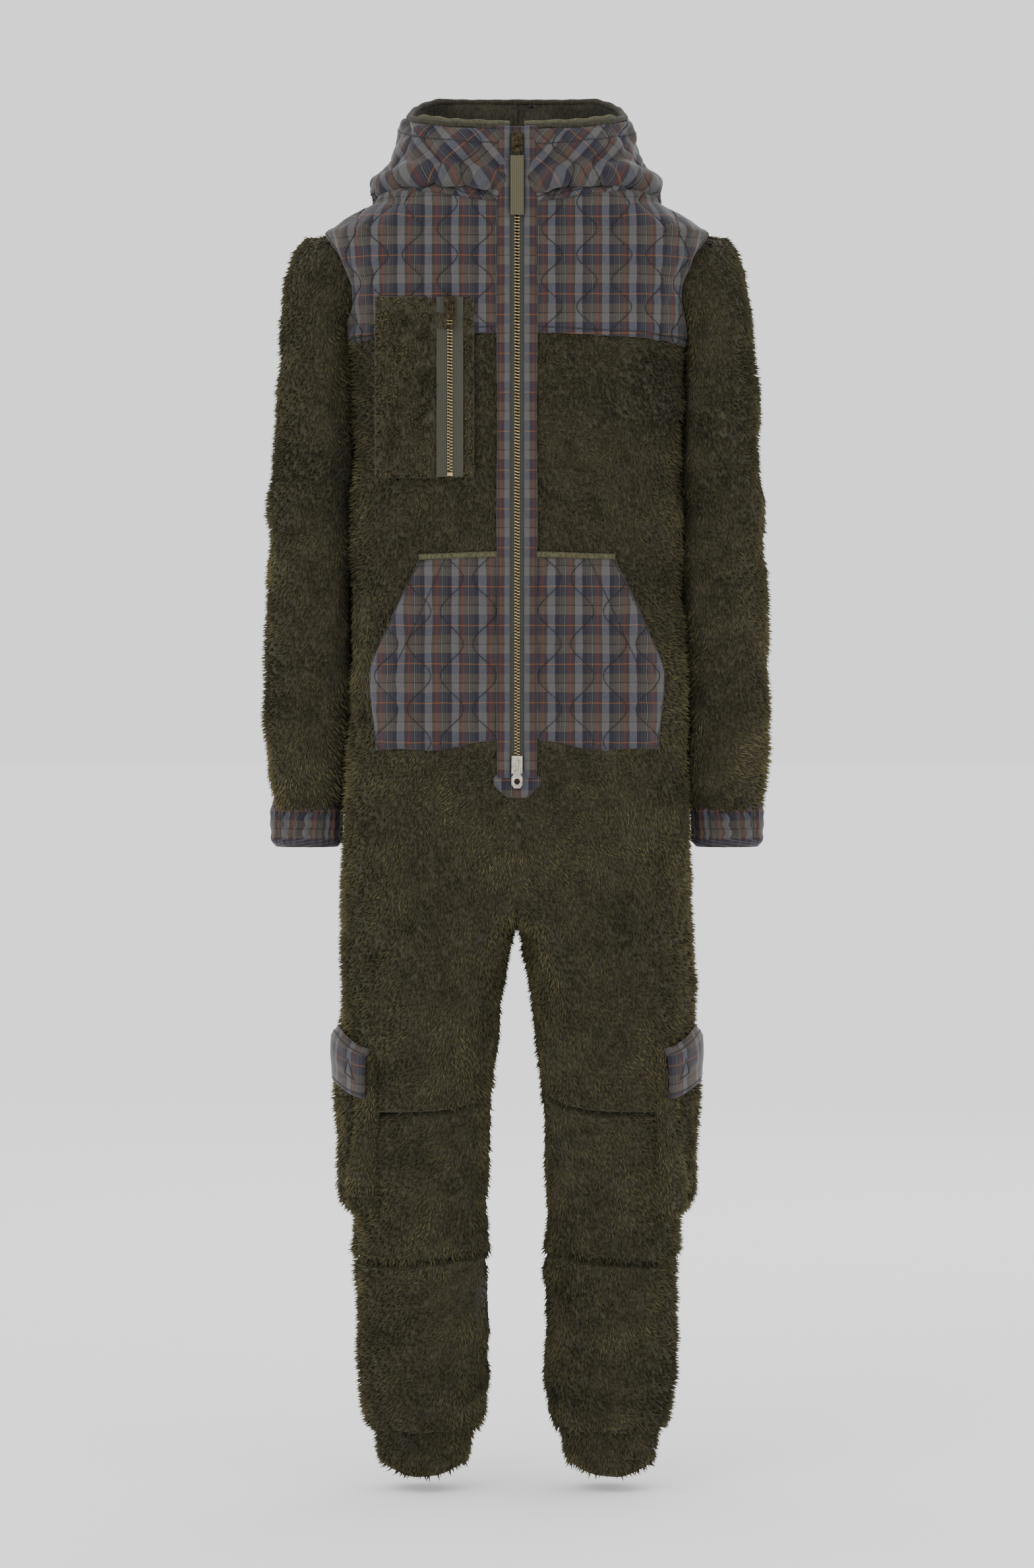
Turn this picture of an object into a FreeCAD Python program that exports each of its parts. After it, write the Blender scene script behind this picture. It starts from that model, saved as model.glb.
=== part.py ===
# Hooded one-piece fleece suit: plush body and sleeves, quilted plaid hood, yoke, cuffs, placket and pockets,
# a two-way front zip and a zipped chest pocket.
# Millimetres; +Z up, the wearer faces -Y, the wearer's left is +X.
# The origin is the middle of the space the suit takes up, at the level of its ankle hems.
import FreeCAD, Part
import os
import Sketcher
from FreeCAD import Vector

doc = FreeCAD.newDocument("fleece_suit")
dims = doc.addObject("Spreadsheet::Sheet", "dims")

SIZES = {
    # The flat front of the suit, cloth thickness and the running gap between moving pieces
    "front_plane": -107.0, "cloth": 7.0, "quilt": 4.0, "gap": 0.4, "centre_depth": 8.0,
    # Hood: a standing funnel whose top edge slopes up from front to back
    "hood_front_top": 1515.0, "hood_back_top": 1570.0, "hood_back": 98.0, "hood_puff_level": 1462.0,
    "hood_puff_half": 158.0, "hood_mid_level": 1502.0, "hood_mid_half": 134.0, "hood_top_half": 112.0,
    "hood_round": 70.0, "lining": 2.0, "binding_tall": 4.0,
    # Torso, level by level: height, half width, back face
    "neck_level": 1435.0, "neck_half": 150.0, "neck_back": 98.0,
    "shoulder_level": 1406.0, "shoulder_half": 222.0, "shoulder_back": 112.0,
    "armhole_level": 1372.0, "armhole_half": 190.0, "armhole_back": 122.0,
    "chest_level": 1290.0, "chest_half": 188.0, "chest_back": 122.0,
    "waist_level": 1020.0, "waist_half": 184.0, "waist_back": 106.0,
    "seat_level": 780.0, "seat_half": 194.0, "seat_back": 120.0,
    "hip_level": 640.0, "hip_half": 199.0, "hip_back": 116.0,
    "crotch_level": 625.0, "torso_round": 72.0, "yoke_level": 1290.0,
    # Sleeves: height, inner and outer edge from the centre line; they hang straight down
    "sleeve_top": 1420.0, "sleeve_inner": 191.0, "sleeve_depth_half": 60.0, "sleeve_head_outer": 262.0,
    "sleeve_head_depth_half": 86.0, "bicep_level": 1290.0, "bicep_outer": 268.0, "bicep_depth_half": 78.0,
    "elbow_outer": 279.0, "mouth_depth_half": 70.0,
    "forearm_level": 880.0, "forearm_outer": 288.0, "wrist_level": 757.0, "wrist_inner": 197.5,
    "wrist_outer": 281.0, "wrist_depth_half": 50.0, "cuff_end": 712.0, "cuff_outer": 278.0,
    # Legs: height, inner and outer edge, front and back face
    "groin_inner": 3.0, "groin_outer": 200.0, "groin_back": 108.0,
    "thigh_level": 504.0, "thigh_inner": 18.0, "thigh_outer": 199.0, "thigh_front": -96.0, "thigh_back": 98.0,
    "knee_level": 369.0, "knee_inner": 31.0, "knee_outer": 193.0, "knee_front": -86.0, "knee_back": 88.0,
    "shin_level": 279.0, "shin_inner": 32.0, "shin_outer": 185.0, "shin_front": -80.0, "shin_back": 84.0,
    "calf_level": 100.0, "calf_inner": 32.0, "calf_outer": 180.0, "calf_front": -74.0, "calf_back": 78.0,
    "ankle_level": 55.0, "ankle_inner": 46.0, "ankle_outer": 167.0, "ankle_front": -58.0, "ankle_back": 64.0,
    "hem_inner": 56.0, "hem_outer": 158.0, "leg_round": 60.0, "knee_seam": 420.0,
    # Joint axes of the cloth: shoulder about Y; elbow, hip and knee about X
    "shoulder_x": 232.0, "shoulder_z": 1345.0, "shoulder_r": 60.4,
    "elbow_y": -18.0, "elbow_z": 1060.0, "elbow_r": 46.0,
    "hip_y": -48.0, "hip_z": 625.0, "hip_r": 66.0,
    "knee_y": 60.0, "knee_z": 290.0, "knee_r": 34.5,
    # Placket, front zip and its end tab
    "placket_half": 22.5, "placket_inner": 8.0, "placket_thick": 3.0, "zip_slit": 16.0,
    "chain_bottom": 799.0, "chain_top": 1511.0, "tape_inner": 1.2, "tape_thick": 0.8, "tape_sunk": 0.6,
    "tooth_pitch": 3.5, "tooth_tall": 1.4, "tooth_past": 1.0, "tooth_root": 2.2, "chain_half": 3.1,
    "tooth_proud": 2.2, "tab_half": 26.0, "tab_level": 786.0, "tab_bottom": 771.0, "tab_top": 795.0,
    "guard_half": 21.0, "guard_thick": 2.0,
    # Kangaroo pocket, one half each side of the placket: outline from the top inner corner
    "pouch_top": 1041.0, "pouch_top_out": 109.0, "pouch_mid": 958.0, "pouch_mid_out": 147.0,
    "pouch_low": 905.0, "pouch_low_out": 166.0, "pouch_foot": 824.0, "pouch_foot_out": 158.0,
    "pouch_foot_in": 833.0, "pouch_lift": 12.0, "pouch_cloth": 3.0, "pouch_seam": 5.0,
    # Chest pocket and its zip
    "patch_out": -158.0, "patch_in": -49.0, "patch_top": 1330.0, "patch_foot": 1129.0, "patch_lift": 6.0,
    "chest_zip_x": -75.0, "chest_tape_half": 15.0, "chest_zip_top": 1332.0, "chest_zip_foot": 1134.0,
    # Cargo pockets on the outer thighs: the bag stands prouder towards its foot, and the flap follows it
    "cargo_front": 158.0, "cargo_rear": 24.0, "cargo_top": 486.0, "cargo_top_lift": 8.0,
    "cargo_full": 330.0, "cargo_full_lift": 14.5, "cargo_foot": 298.0, "cargo_foot_lift": 11.5,
    "cargo_cloth": 2.5, "flap_top": 506.0, "flap_foot": 432.0, "flap_thick": 3.5, "flap_clear": 1.0,
    # Sliders and pullers
    "slider_half": 6.0, "slider_tall": 20.0, "slider_plate": 2.1, "slider_side": 3.7, "slider_clear": 0.5,
    "lug_half": 1.6, "lug_tall": 9.0, "lug_proud": 4.0, "lug_hole": 1.7, "pin": 1.2, "arm_in": 2.1,
    "arm_out": 3.4, "arm_half": 1.4, "link_reach": 6.6, "main_slider_z": 1492.0, "foot_slider_z": 797.0,
    "chest_slider_z": 1310.0, "link_long": 8.5, "webbing_half": 7.5, "webbing_long": 66.0,
    "webbing_thick": 2.4, "ring_half": 6.0, "ring_long": 17.0, "ring_hole": 3.4, "ring_thick": 1.8,
    # Neck tape and hanger loop inside the back of the neck
    "neck_tape_half": 70.0, "neck_tape_tall": 12.0, "neck_tape_thick": 1.2,
    "loop_half": 32.0, "loop_stand": 9.0, "loop_thick": 2.0, "loop_tall": 8.0, "loop_foot": 6.0,
}
for row, (alias, value) in enumerate(SIZES.items(), start=1):
    dims.set(f"A{row}", alias)
    dims.set(f"B{row}", str(value))
    dims.setAlias(f"B{row}", alias)
doc.recompute()

FAR = 2000.0


def size(name):
    return float(getattr(dims, name))


F = size("front_plane")
CLOTH = size("cloth")
GAP = size("gap")
MIDDLE = size("centre_depth")


# ---------- shapes ----------

def rounded(level, x0, x1, y0, y1, radius):
    """A level, closed rectangle with rounded corners."""
    arcs, lines = [], []
    half = radius * (1 - 0.5 ** 0.5)
    corners = [
        ((x1 - radius, y0), (x1 - half, y0 + half), (x1, y0 + radius)),
        ((x1, y1 - radius), (x1 - half, y1 - half), (x1 - radius, y1)),
        ((x0 + radius, y1), (x0 + half, y1 - half), (x0, y1 - radius)),
        ((x0, y0 + radius), (x0 + half, y0 + half), (x0 + radius, y0)),
    ]
    for index, corner in enumerate(corners):
        points = [Vector(x, y, level) for x, y in corner]
        arcs.append(Part.Arc(*points).toShape())
        following = corners[(index + 1) % 4][0]
        lines.append(Part.LineSegment(points[2], Vector(*following, level)).toShape())
    return Part.Wire([edge for pair in zip(arcs, lines) for edge in pair])


def grown(levels, lift):
    """The same levels with every section larger all round by lift, or smaller where lift is negative."""
    return [(z, x0 - lift, x1 + lift, y0 - lift, y1 + lift, radius + lift)
            for z, x0, x1, y0, y1, radius in levels]


def solid_tube(levels):
    return Part.makeLoft([rounded(*level) for level in levels], True, True)


def run_past(levels, past=1.0):
    """The levels with both end sections repeated a little further out, so that a cut goes right through."""
    first, last = levels[0], levels[-1]
    way = 1 if first[0] > last[0] else -1
    return [(first[0] + way * past, *first[1:]), *levels, (last[0] - way * past, *last[1:])]


def hollow_tube(levels, wall):
    return solid_tube(levels).cut(solid_tube(run_past(grown(levels, -wall))))


def block(x=(-FAR, FAR), y=(-FAR, FAR), z=(-FAR, FAR)):
    box = Part.makeBox(x[1] - x[0], y[1] - y[0], z[1] - z[0])
    box.translate(Vector(x[0], y[0], z[0]))
    return box


def bar_along_x(y, z, radius):
    return Part.makeCylinder(radius, 2 * FAR, Vector(-FAR, y, z), Vector(1, 0, 0))


def mirrored(shape):
    return shape.mirror(Vector(0, 0, 0), Vector(1, 0, 0))


def prism(points, y0, y1):
    """A flat outline of (x, z) points, from y0 to y1."""
    corners = [Vector(x, y0, z) for x, z in points]
    face = Part.Face(Part.makePolygon(corners + corners[:1]))
    return face.extrude(Vector(0, y1 - y0, 0))


def part_at_bend(tube, axis_rod, rod_inside, plane_z):
    """Cuts a tube at a bend: the upper piece has a hollow that the rounded top of the lower piece turns in."""
    upper = tube.common(block(z=(plane_z, FAR))).cut(axis_rod)
    lower = tube.common(block(z=(-FAR, plane_z - GAP)).fuse(rod_inside))
    return upper, lower


# ---------- document objects ----------

parts = []


def cloth_piece(label, shape):
    """A sewn piece whose curved shape is worked out from the sheet."""
    piece = doc.addObject("Part::Feature", label)
    piece.Label = label
    piece.Shape = shape.removeSplitter()
    piece.Placement = FreeCAD.Placement()
    parts.append(piece)
    return piece


def boxed(label, x, y, z, sizes, part=True):
    """A box whose corner and sides are bound to the sheet."""
    box = doc.addObject("Part::Box", label)
    box.Label = label
    for name, rule in zip(("Length", "Width", "Height"), sizes):
        box.setExpression(name, rule)
    for name, rule in zip("xyz", (x, y, z)):
        box.setExpression(f"Placement.Base.{name}", rule)
    if part:
        parts.append(box)
    return box


def rod(label, x, y, z, length, radius):
    """A round bar along X, bound to the sheet."""
    bar = doc.addObject("Part::Cylinder", label)
    bar.Label = label
    bar.Placement = FreeCAD.Placement(Vector(), FreeCAD.Rotation(Vector(0, 1, 0), 90))
    bar.setExpression("Height", length)
    bar.setExpression("Radius", radius)
    for name, rule in zip("xyz", (x, y, z)):
        bar.setExpression(f"Placement.Base.{name}", rule)
    return bar


def joined(label, shapes, part=False):
    fuse = doc.addObject("Part::MultiFuse", label)
    fuse.Label = label
    fuse.Shapes = shapes
    if part:
        parts.append(fuse)
    return fuse


def bored(label, base, tool, part=True):
    cut = doc.addObject("Part::Cut", label)
    cut.Label = label
    cut.Base = base
    cut.Tool = tool
    if part:
        parts.append(cut)
    return cut


def sheet_value(rule):
    """The number that a rule made of the sheet's names gives."""
    return float(dims.evalExpression(rule))


def outline_pad(label, outline, back, thick, hole=None):
    """A flat piece: a closed sketch of straight sides on the front plane, padded forwards from back."""
    body = doc.addObject("PartDesign::Body", label)
    body.Label = label
    sketch = body.newObject("Sketcher::SketchObject", label + "_outline")
    plane = next(f for f in body.Origin.OriginFeatures if f.Role == "XZ_Plane")
    sketch.AttachmentSupport = [(plane, "")]
    sketch.MapMode = "FlatFace"
    sketch.setExpression("AttachmentOffset.Base.z", f"-({back})")
    points = [(sheet_value(x), sheet_value(z)) for x, z in outline]
    count = len(points)
    for index, (x, z) in enumerate(points):
        onward = points[(index + 1) % count]
        sketch.addGeometry(Part.LineSegment(Vector(x, z, 0), Vector(*onward, 0)), False)
    for index in range(count):
        sketch.addConstraint(Sketcher.Constraint("Coincident", index, 2, (index + 1) % count, 1))
    for index, (x_rule, z_rule) in enumerate(outline):
        for kind, rule, value in zip(("DistanceX", "DistanceY"), (x_rule, z_rule), points[index]):
            number = sketch.addConstraint(Sketcher.Constraint(kind, -1, 1, index, 1, value))
            sketch.setExpression(f"Constraints[{number}]", rule)
    if hole:
        x, z = sheet_value(hole[0]), sheet_value(hole[1])
        circle = Part.Circle(Vector(x, z, 0), Vector(0, 0, 1), size("ring_hole"))
        round_hole = sketch.addGeometry(circle, False)
        for kind, rule, value in (("DistanceX", hole[0], x), ("DistanceY", hole[1], z)):
            number = sketch.addConstraint(Sketcher.Constraint(kind, -1, 1, round_hole, 3, value))
            sketch.setExpression(f"Constraints[{number}]", rule)
        number = sketch.addConstraint(Sketcher.Constraint("Radius", round_hole, size("ring_hole")))
        sketch.setExpression(f"Constraints[{number}]", "dims.ring_hole")
    pad = body.newObject("PartDesign::Pad", label + "_pad")
    pad.Profile = sketch
    pad.setExpression("Length", thick)
    parts.append(body)
    return body


# ---------- the suit's sections ----------

def torso_level(name):
    half = size(name + "_half")
    return (size(name + "_level"), -half, half, F, size(name + "_back"), size("torso_round"))


torso_levels = [torso_level(n) for n in ("neck", "shoulder", "armhole", "chest", "waist", "seat", "hip")]
torso_levels.append((size("crotch_level"), *torso_levels[-1][1:]))
# Under the sloping shoulder the inside drops as well as narrowing, so that the cloth there stays thick.
torso_inside = [(z - (CLOTH if name == 1 else 0), *rest)
                for name, (z, *rest) in enumerate(grown(torso_levels, -CLOTH))]


def leg_level(name, level=None, front=None, radius=None):
    return (level or size(name + "_level"), size(name + "_inner"), size(name + "_outer"),
            front or size(name + "_front"), size(name + "_back"), radius or size("leg_round"))


leg_levels = [
    leg_level("groin", level=size("crotch_level"), front=F),
    leg_level("thigh"), leg_level("knee"), leg_level("shin"), leg_level("calf"),
    leg_level("ankle", radius=55.0),
]
ankle_levels = [
    leg_levels[-1],
    (0.0, size("hem_inner"), size("hem_outer"), size("ankle_front"), size("ankle_back"), 50.0),
]


def sleeve_level(level, inner, outer, depth_half, radius):
    return (level, inner, outer, MIDDLE - depth_half, MIDDLE + depth_half, radius)


deep, narrow = size("sleeve_depth_half"), size("wrist_depth_half")
inner_edge = size("sleeve_inner")
head_deep = size("sleeve_head_depth_half")
sleeve_levels = [
    sleeve_level(size("sleeve_top"), inner_edge, size("sleeve_head_outer"), head_deep, 30.0),
    sleeve_level(size("bicep_level"), inner_edge, size("bicep_outer"), size("bicep_depth_half"), 36.0),
    sleeve_level(size("elbow_z"), inner_edge, size("elbow_outer"), deep, 38.0),
    sleeve_level(size("forearm_level"), inner_edge, size("forearm_outer"), deep - 2, 40.0),
    sleeve_level(size("wrist_level"), size("wrist_inner"), size("wrist_outer"), narrow, 36.0),
]
cuff_levels = [
    sleeve_levels[-1],
    sleeve_level(size("cuff_end"), size("wrist_inner") + 2, size("cuff_outer"), narrow - 2, 36.0),
]

hood_round = size("hood_round")
hood_levels = [
    (z, -half, half, F, size("hood_back"), hood_round) for z, half in (
        (size("hood_back_top") + 4, size("hood_top_half")), (size("hood_mid_level"), size("hood_mid_half")),
        (size("hood_puff_level"), size("hood_puff_half")), (size("neck_level"), size("neck_half")))
]


# ---------- torso, yoke and body panels ----------

def torso_panels():
    shoulder_hole = Part.makeCylinder(size("shoulder_r"), 2 * FAR, Vector(size("shoulder_x"), -FAR,
                                      size("shoulder_z")), Vector(0, 1, 0))
    hip_rod = bar_along_x(size("hip_y"), size("hip_z"), size("hip_r"))
    shell = solid_tube(torso_levels).cut(solid_tube(run_past(torso_inside)))
    shell = shell.cut(shoulder_hole).cut(mirrored(shoulder_hole)).cut(hip_rod)
    slit = size("zip_slit")
    yoke, top = size("yoke_level"), size("neck_level") + 1
    chain_end = size("tab_bottom")
    front_right = shell.common(block(x=(-FAR, 0), y=(-FAR, MIDDLE)))
    slot = block(x=(-slit, 0), y=(-FAR, MIDDLE), z=(chain_end, FAR))
    front_right = front_right.cut(slot)
    cloth_piece("yoke_front_right", front_right.common(block(z=(yoke, top))))
    cloth_piece("yoke_front_left", mirrored(front_right.common(block(z=(yoke, top)))))
    cloth_piece("body_front_right", front_right.common(block(z=(0, yoke))))
    cloth_piece("body_front_left", mirrored(front_right.common(block(z=(0, yoke)))))
    back = shell.common(block(y=(MIDDLE, FAR)))
    cloth_piece("yoke_back", back.common(block(z=(yoke, top))))
    back_right = back.common(block(x=(-FAR, 0), z=(0, yoke)))
    cloth_piece("body_back_right", back_right)
    cloth_piece("body_back_left", mirrored(back_right))


# ---------- hood ----------

def hood_pieces():
    quilt, lining = size("quilt"), size("lining")
    rise = size("hood_back_top") - size("hood_front_top")
    run = size("hood_back") - F

    def under_edge(drop):
        """Everything below the hood's sloping top edge, lowered by drop."""
        front, back = size("hood_front_top") - drop, size("hood_back_top") - drop
        steep = rise / run
        side = [(F - 50, front - 50 * steep), (size("hood_back") + 50, back + 50 * steep),
                (size("hood_back") + 50, 0), (F - 50, 0)]
        corners = [Vector(-FAR, y, z) for y, z in side]
        return Part.Face(Part.makePolygon(corners + corners[:1])).extrude(Vector(2 * FAR, 0, 0))

    outer = hollow_tube(hood_levels, quilt)
    inner = hollow_tube(grown(hood_levels, -quilt), lining)
    slot = block(x=(-size("zip_slit"), size("zip_slit")), y=(-FAR, MIDDLE))
    binding = size("binding_tall")
    shell = outer.cut(slot)
    edge = shell.fuse(inner.cut(slot)).common(under_edge(0)).cut(under_edge(binding))
    cloth_piece("hood_edge_binding", edge)
    shell = shell.common(under_edge(binding))
    linings = inner.cut(slot).common(under_edge(binding))
    right = block(x=(-FAR, 0))
    for side, turn in (("right", lambda shape: shape), ("left", mirrored)):
        cloth_piece("hood_" + side, turn(shell.common(right)))
        cloth_piece("hood_lining_" + side, turn(linings.common(right)))


# ---------- sleeves ----------

def sleeve_pieces():
    x, z, radius = size("shoulder_x"), size("shoulder_z"), size("shoulder_r") - GAP
    start, up = Vector(x, -FAR, z), Vector(0, 1, 0)
    head = Part.makeCylinder(radius, 2 * FAR, start, up)
    head_inside = Part.makeCylinder(radius - CLOTH, 2 * FAR, start, up)
    below = block(z=(0, z))
    outer = solid_tube(sleeve_levels).common(head.fuse(below))
    inside = solid_tube(run_past(grown(sleeve_levels, -CLOTH))).common(head_inside.fuse(below))
    mouth_half = size("mouth_depth_half")
    mouth = block(x=(0, size("sleeve_inner") + CLOTH + 1), y=(MIDDLE - mouth_half, MIDDLE + mouth_half),
                  z=(z - 38, z + 34))
    sleeve = outer.cut(inside).cut(mouth)
    elbow = size("elbow_y"), size("elbow_z")
    upper, lower = part_at_bend(sleeve, bar_along_x(*elbow, size("elbow_r")),
                                bar_along_x(*elbow, size("elbow_r") - GAP), size("elbow_z"))
    cuff = hollow_tube(cuff_levels, size("quilt"))
    for label, shape in (("sleeve_upper", upper), ("sleeve_lower", lower), ("sleeve_cuff", cuff)):
        cloth_piece(label + "_left", shape)
        cloth_piece(label + "_right", mirrored(shape))


# ---------- legs ----------

def leg_pieces():
    leg = hollow_tube(leg_levels, CLOTH)
    knee = size("knee_y"), size("knee_z")
    upper, shin = part_at_bend(leg, bar_along_x(*knee, size("knee_r")),
                               bar_along_x(*knee, size("knee_r") - GAP), size("knee_z"))
    # The top of the thigh is rounded about the hip axis where it turns inside the seat of the suit.
    hip_rod = bar_along_x(size("hip_y"), size("hip_z"), size("hip_r") - GAP)
    torso = solid_tube(torso_levels).cut(solid_tube(run_past(torso_inside)))
    groin = torso.common(hip_rod).common(block(x=(size("groin_inner"), FAR), z=(size("hip_z"), FAR)))
    upper = upper.common(block(z=(0, size("hip_z") - GAP)).fuse(hip_rod)).fuse(groin)
    seam = size("knee_seam")
    front = upper.common(block(y=(-FAR, 0)))
    pieces = (("thigh_front", front.common(block(z=(seam, FAR)))),
              ("knee_panel", front.common(block(z=(0, seam)))),
              ("thigh_back", upper.common(block(y=(0, FAR)))),
              ("shin", shin), ("ankle_cuff", hollow_tube(ankle_levels, CLOTH)))
    for label, shape in pieces:
        cloth_piece(label + "_left", shape)
        cloth_piece(label + "_right", mirrored(shape))


# ---------- pockets sewn on the body ----------

def on_front(outline, low, high):
    """A layer that follows the front of the suit, from low to high above it, inside an outline."""
    layer = solid_tube(grown(torso_levels, high)).cut(solid_tube(run_past(grown(torso_levels, low))))
    return layer.common(prism(outline, -FAR, MIDDLE))


def kangaroo_pocket():
    lift, cloth, seam = size("pouch_lift"), size("pouch_cloth"), size("pouch_seam")
    inner = size("placket_half")
    outline = [(inner, size("pouch_top")), (size("pouch_top_out"), size("pouch_top") - 3),
               (size("pouch_mid_out"), size("pouch_mid")), (size("pouch_low_out"), size("pouch_low")),
               (size("pouch_foot_out"), size("pouch_foot")), (inner, size("pouch_foot_in"))]
    # The hand goes in through the slanting side, where the hollow runs out past the outline.
    hollow = [(inner + seam, size("pouch_top") - seam),
              (size("pouch_top_out") + 20, size("pouch_top") - seam - 3),
              (size("pouch_low_out") + 20, size("pouch_low") + 4),
              (size("pouch_low_out") - seam, size("pouch_low")),
              (size("pouch_foot_out") - seam, size("pouch_foot") + seam),
              (inner + seam, size("pouch_foot_in") + seam)]
    pouch = on_front(outline, 0, lift).cut(on_front(hollow, -1, lift - cloth))
    cloth_piece("kangaroo_pocket_left", pouch)
    cloth_piece("kangaroo_pocket_right", mirrored(pouch))


def chest_pocket():
    outer, inner = size("patch_out"), size("patch_in")
    outline = [(outer, size("patch_top")), (inner, size("patch_top")), (inner, size("patch_foot")),
               (outer, size("patch_foot"))]
    cloth_piece("chest_pocket", on_front(outline, 0, size("patch_lift")))


def leg_level_at(z):
    """The leg's section at any height, between its levels."""
    for above, below in zip(leg_levels, leg_levels[1:]):
        if above[0] >= z >= below[0]:
            share = (above[0] - z) / (above[0] - below[0])
            return tuple(a + (b - a) * share for a, b in zip(above, below))
    raise ValueError("no leg section at that height")


def cargo_pockets():
    cloth, clear, thick = size("cargo_cloth"), size("flap_clear"), size("flap_thick")
    top, full, foot = size("cargo_top"), size("cargo_full"), size("cargo_foot")
    top_lift, full_lift = size("cargo_top_lift"), size("cargo_full_lift")
    # Heights where the leg itself turns between the bag's top and its fullest point are taken in too.
    bends = [z for z, *_ in leg_levels if full < z < top]

    def bag_lift(z):
        if z >= top:
            return top_lift
        if z >= full:
            return full_lift + (top_lift - full_lift) * (z - full) / (top - full)
        return size("cargo_foot_lift") + (full_lift - size("cargo_foot_lift")) * (z - foot) / (full - foot)

    def raised(heights, extra):
        return [grown([leg_level_at(z)], bag_lift(z) + extra)[0] for z in heights]

    def layer(heights, low, high, inset=0.0):
        """A layer over the bag's own outer face, from low to high beyond it; low None starts at the leg."""
        under = [leg_level_at(z) for z in heights] if low is None else raised(heights, low)
        wedge = block(x=(size("cargo_front") + inset, FAR), y=(-FAR, size("cargo_rear") - inset))
        return solid_tube(raised(heights, high)).cut(solid_tube(run_past(under))).common(wedge)

    bag = layer([top, *bends, full, foot], None, 0.0)
    room = layer([top + 5, *bends, full, foot + cloth], None, -cloth, inset=cloth)
    flap = layer([size("flap_top"), top, size("flap_foot")], clear, clear + thick)
    for label, shape in (("cargo_pocket", bag.cut(room)), ("cargo_flap", flap)):
        cloth_piece(label + "_left", shape)
        cloth_piece(label + "_right", mirrored(shape))


# ---------- placket and zips ----------

def placket():
    wide = "dims.placket_half - dims.placket_inner"
    depth = "dims.placket_thick"
    tall = "dims.hood_front_top - dims.tab_top"
    y = "dims.front_plane - dims.placket_thick"
    boxed("placket_left", "dims.placket_inner", y, "dims.tab_top", (wide, depth, tall))
    boxed("placket_right", "-dims.placket_half", y, "dims.tab_top", (wide, depth, tall))
    half, low = "dims.placket_half", "dims.tab_bottom"
    outline = [("-" + half, "dims.tab_top"), (half, "dims.tab_top"), ("dims.tab_half", "dims.tab_level + 5"),
               ("dims.tab_half", "dims.tab_level - 5"), (half + " - 8", low), (f"-({half} - 8)", low),
               ("-dims.tab_half", "dims.tab_level - 5"), ("-dims.tab_half", "dims.tab_level + 5")]
    # The tab closes the slit below the zip; the tape and teeth end above its thin back.
    outline_pad("placket_end_tab", outline, "dims.front_plane - dims.gap", "dims.placket_thick - dims.gap")
    boxed("zip_guard", "-dims.guard_half", "dims.front_plane + dims.cloth", "dims.tab_top",
          ("2 * dims.guard_half", "dims.guard_thick", "dims.neck_level - dims.tab_top"))


def tape(label, x, front, foot, top, inner, outer):
    sizes = f"{outer} - {inner}", "dims.tape_thick", f"{top} - ({foot})"
    boxed(label + "_left", f"{x} + {inner}", front, foot, sizes)
    boxed(label + "_right", f"{x} - ({outer})", front, foot, sizes)


def teeth(label, side, x, foot, top, y0, y1):
    """One side's row of teeth on the cord at its tape's edge, as a comb; the two sides mesh."""
    pitch, tall = size("tooth_pitch"), size("tooth_tall")
    root, past, edge = size("tooth_root"), size("tooth_past"), size("chain_half")
    start = foot + (pitch / 2 if side > 0 else 0) + 0.3
    count = int((top - start) // pitch)
    outline = [(edge, foot), (root, foot)]
    for number in range(count):
        low = start + number * pitch
        outline += [(root, low), (-past, low + 0.3), (-past, low + tall - 0.3), (root, low + tall)]
    outline += [(root, top), (edge, top)]
    cloth_piece(label, prism([(x + side * across, z) for across, z in outline], y0, y1))


def zips():
    sunk = "dims.front_plane + dims.tape_sunk"
    tape("zip_tape", "0", sunk, "dims.chain_bottom", "dims.hood_front_top - 2", "dims.tape_inner",
         "dims.zip_slit - dims.gap")
    y1 = F + size("tape_sunk")
    for side, name in ((1, "left"), (-1, "right")):
        teeth("zip_teeth_" + name, side, 0.0, size("chain_bottom"), size("chain_top"),
              y1 - size("tooth_proud"), y1)
    boxed("zip_bottom_stop", "-dims.chain_half", "dims.front_plane - 1.6", "dims.chain_bottom - 3",
          ("2 * dims.chain_half", "dims.tooth_proud", "3 - 0.2"))
    raised = "dims.front_plane - dims.patch_lift - dims.tape_thick"
    tape("chest_zip_tape", "dims.chest_zip_x", raised, "dims.chest_zip_foot - 5", "dims.patch_top",
         "dims.tape_inner", "dims.chest_tape_half")
    y1 = F - size("patch_lift") - size("tape_thick")
    for side, name in ((1, "left"), (-1, "right")):
        teeth("chest_zip_teeth_" + name, side, size("chest_zip_x"), size("chest_zip_foot"),
              size("chest_zip_top") - 3, y1 - size("tooth_proud"), y1)
    boxed("chest_zip_stop", "dims.chest_zip_x - dims.chain_half", f"{raised} - dims.tooth_proud",
          "dims.chest_zip_foot - 4", ("2 * dims.chain_half", "dims.tooth_proud", "4 - 0.2"))


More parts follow.
